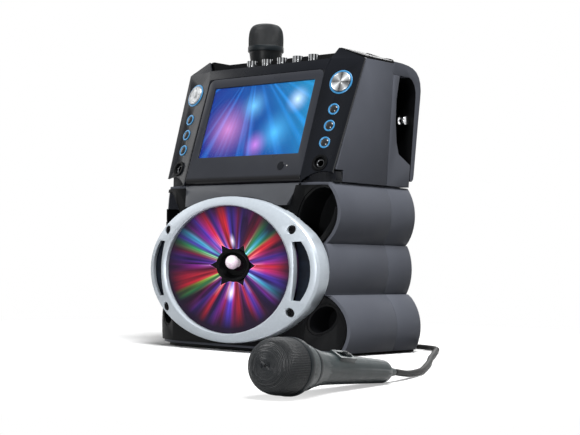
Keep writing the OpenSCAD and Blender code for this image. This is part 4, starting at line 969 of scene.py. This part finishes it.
# %% Plated studs
STUD = [(0, 0), (5.0, 0), (5.2, 0.3), (5.2, 1.2), (3.6, 2.2), (3.6, 6.0), (5.0, 7.0), (5.4, 7.6),
        (5.4, 8.9), (5.0, 9.5), (4.2, 9.8), (0, 9.8)]
STUD_NECK = [(0, 0), (2.6, 0), (2.6, 5.4), (3.4, 6.4), (0, 6.4)]
STUD_X, NECK_X, STUD_Y, STUD_Z = 116.8, 121, 73.4, 270
studs, necks = [], []
for side in (-1, 1):
    stud = turned("stud", STUD, 48)
    stud.data.transform(Matrix.Translation(Vector((side * STUD_X, STUD_Y, STUD_Z)) * MM)
                        @ Matrix.Rotation(math.radians(90 * side), 4, "Y"))
    neck = turned("neck", STUD_NECK, 32)
    neck.data.transform(Matrix.Translation(Vector((side * NECK_X, STUD_Y, STUD_Z)) * MM)
                        @ Matrix.Rotation(math.radians(-90), 4, "X"))
    studs.append(stud)
    necks.append(neck)
stand_for(joined("plated_studs", studs), chrome_trim, "cable_studs")
stand_for(joined("stud_necks", necks), black_plastic, body=BODY_OF["cable_studs"])

# %% [markdown]
# The floor is a plain white sheet that fades into a white surround, as in a catalogue picture. It
# keeps the object's shadow. The surround is fully white only to the camera, in gloss and through
# glass, and the floor is dark to diffuse rays, so both add very little light of their own.

# %% Floor
FLOOR_TONE, FLOOR_BOUNCE = (0.9, 0.9, 0.9), (0.08, 0.08, 0.08)
MELT_FROM, MELT_TO = 0.25, 0.75
bpy.ops.object.select_all(action="DESELECT")
bpy.ops.mesh.primitive_plane_add(size=14, location=(0, 0, -0.0005))
floor = bpy.context.active_object
floor.name = "floor"
floor_mat = finish("floor_white", FLOOR_TONE, 0.9, spec=0.1, wander=(0.85, 0.95, 500))
far_off = node(floor_mat, "ShaderNodeVectorMath")
far_off.operation = "LENGTH"
link(floor_mat, object_coords(floor_mat), far_off.inputs[0])
melt = map_range(floor_mat, far_off.outputs["Value"], MELT_FROM, MELT_TO, kind="SMOOTHSTEP")
seen_floor = node(floor_mat, "ShaderNodeLightPath")
share = calc(floor_mat, "MULTIPLY", melt, seen_floor.outputs["Is Camera Ray"])
sheet = node(floor_mat, "ShaderNodeEmission")
blend = node(floor_mat, "ShaderNodeMixShader")
out = next(n for n in floor_mat.node_tree.nodes if n.type == "OUTPUT_MATERIAL")
link(floor_mat, share, blend.inputs["Fac"])
link(floor_mat, shader_of(floor_mat).outputs["BSDF"], blend.inputs[1])
link(floor_mat, sheet.outputs["Emission"], blend.inputs[2])
link(floor_mat, blend.outputs["Shader"], out.inputs["Surface"])
bounce = mix_color(floor_mat, "MIX", seen_floor.outputs["Is Diffuse Ray"], FLOOR_TONE, FLOOR_BOUNCE)
link(floor_mat, bounce, shader_of(floor_mat).inputs["Base Color"])
dress(floor, floor_mat)

# %% Surround
SURROUND_FILL = 0.08
world = bpy.data.worlds.new("surround")
scene.world = world
world.use_nodes = True
background = world.node_tree.nodes["Background"]
background.inputs["Color"].default_value = (1, 1, 1, 1)
background.inputs["Strength"].default_value = SURROUND_FILL
do = sums(world)
paths = node(world, "ShaderNodeLightPath").outputs
mirrored = do("MAXIMUM", paths["Is Glossy Ray"], paths["Is Transmission Ray"])
seen = do("MAXIMUM", paths["Is Camera Ray"], mirrored, clamp=True)
strength = do("ADD", do("MULTIPLY", seen, 1 - SURROUND_FILL), SURROUND_FILL)
link(world, strength, background.inputs["Strength"])

# %% [markdown]
# One large lamp high above the right side gives the lobes their bright tops and dark undersides.
# A low lamp in front lifts the ring and the panel, a weak one on the left draws the far column,
# and two more fill the top and the back.

# %% Lamps
def soft_lamp(name, place, aim, size, power):
    data = bpy.data.lights.new(name, "AREA")
    data.shape = "RECTANGLE"
    data.size, data.size_y = size
    data.energy = power
    lamp = bpy.data.objects.new(name, data)
    lamp.location = place
    lamp.rotation_euler = (Vector(aim) - Vector(place)).to_track_quat("-Z", "Y").to_euler()
    scene.collection.objects.link(lamp)


soft_lamp("key_lamp", (0.95, -0.45, 2.35), (0, 0, 0.2), (1.0, 1.0), 96)
soft_lamp("front_lamp", (0.75, -2.6, 0.35), (0, 0, 0.15), (0.55, 0.55), 30)
soft_lamp("left_lamp", (-1.9, -0.3, 0.9), (0, 0, 0.2), (0.7, 0.9), 4)
soft_lamp("top_lamp", (0.4, -0.1, 2.2), (0, 0, 0.2), (1.4, 1.4), 6)
soft_lamp("rear_lamp", (-1.2, 2.3, 1.3), (0, 0, 0.15), (0.9, 0.9), 16)

# %% Close
scene.view_settings.view_transform = "Standard"
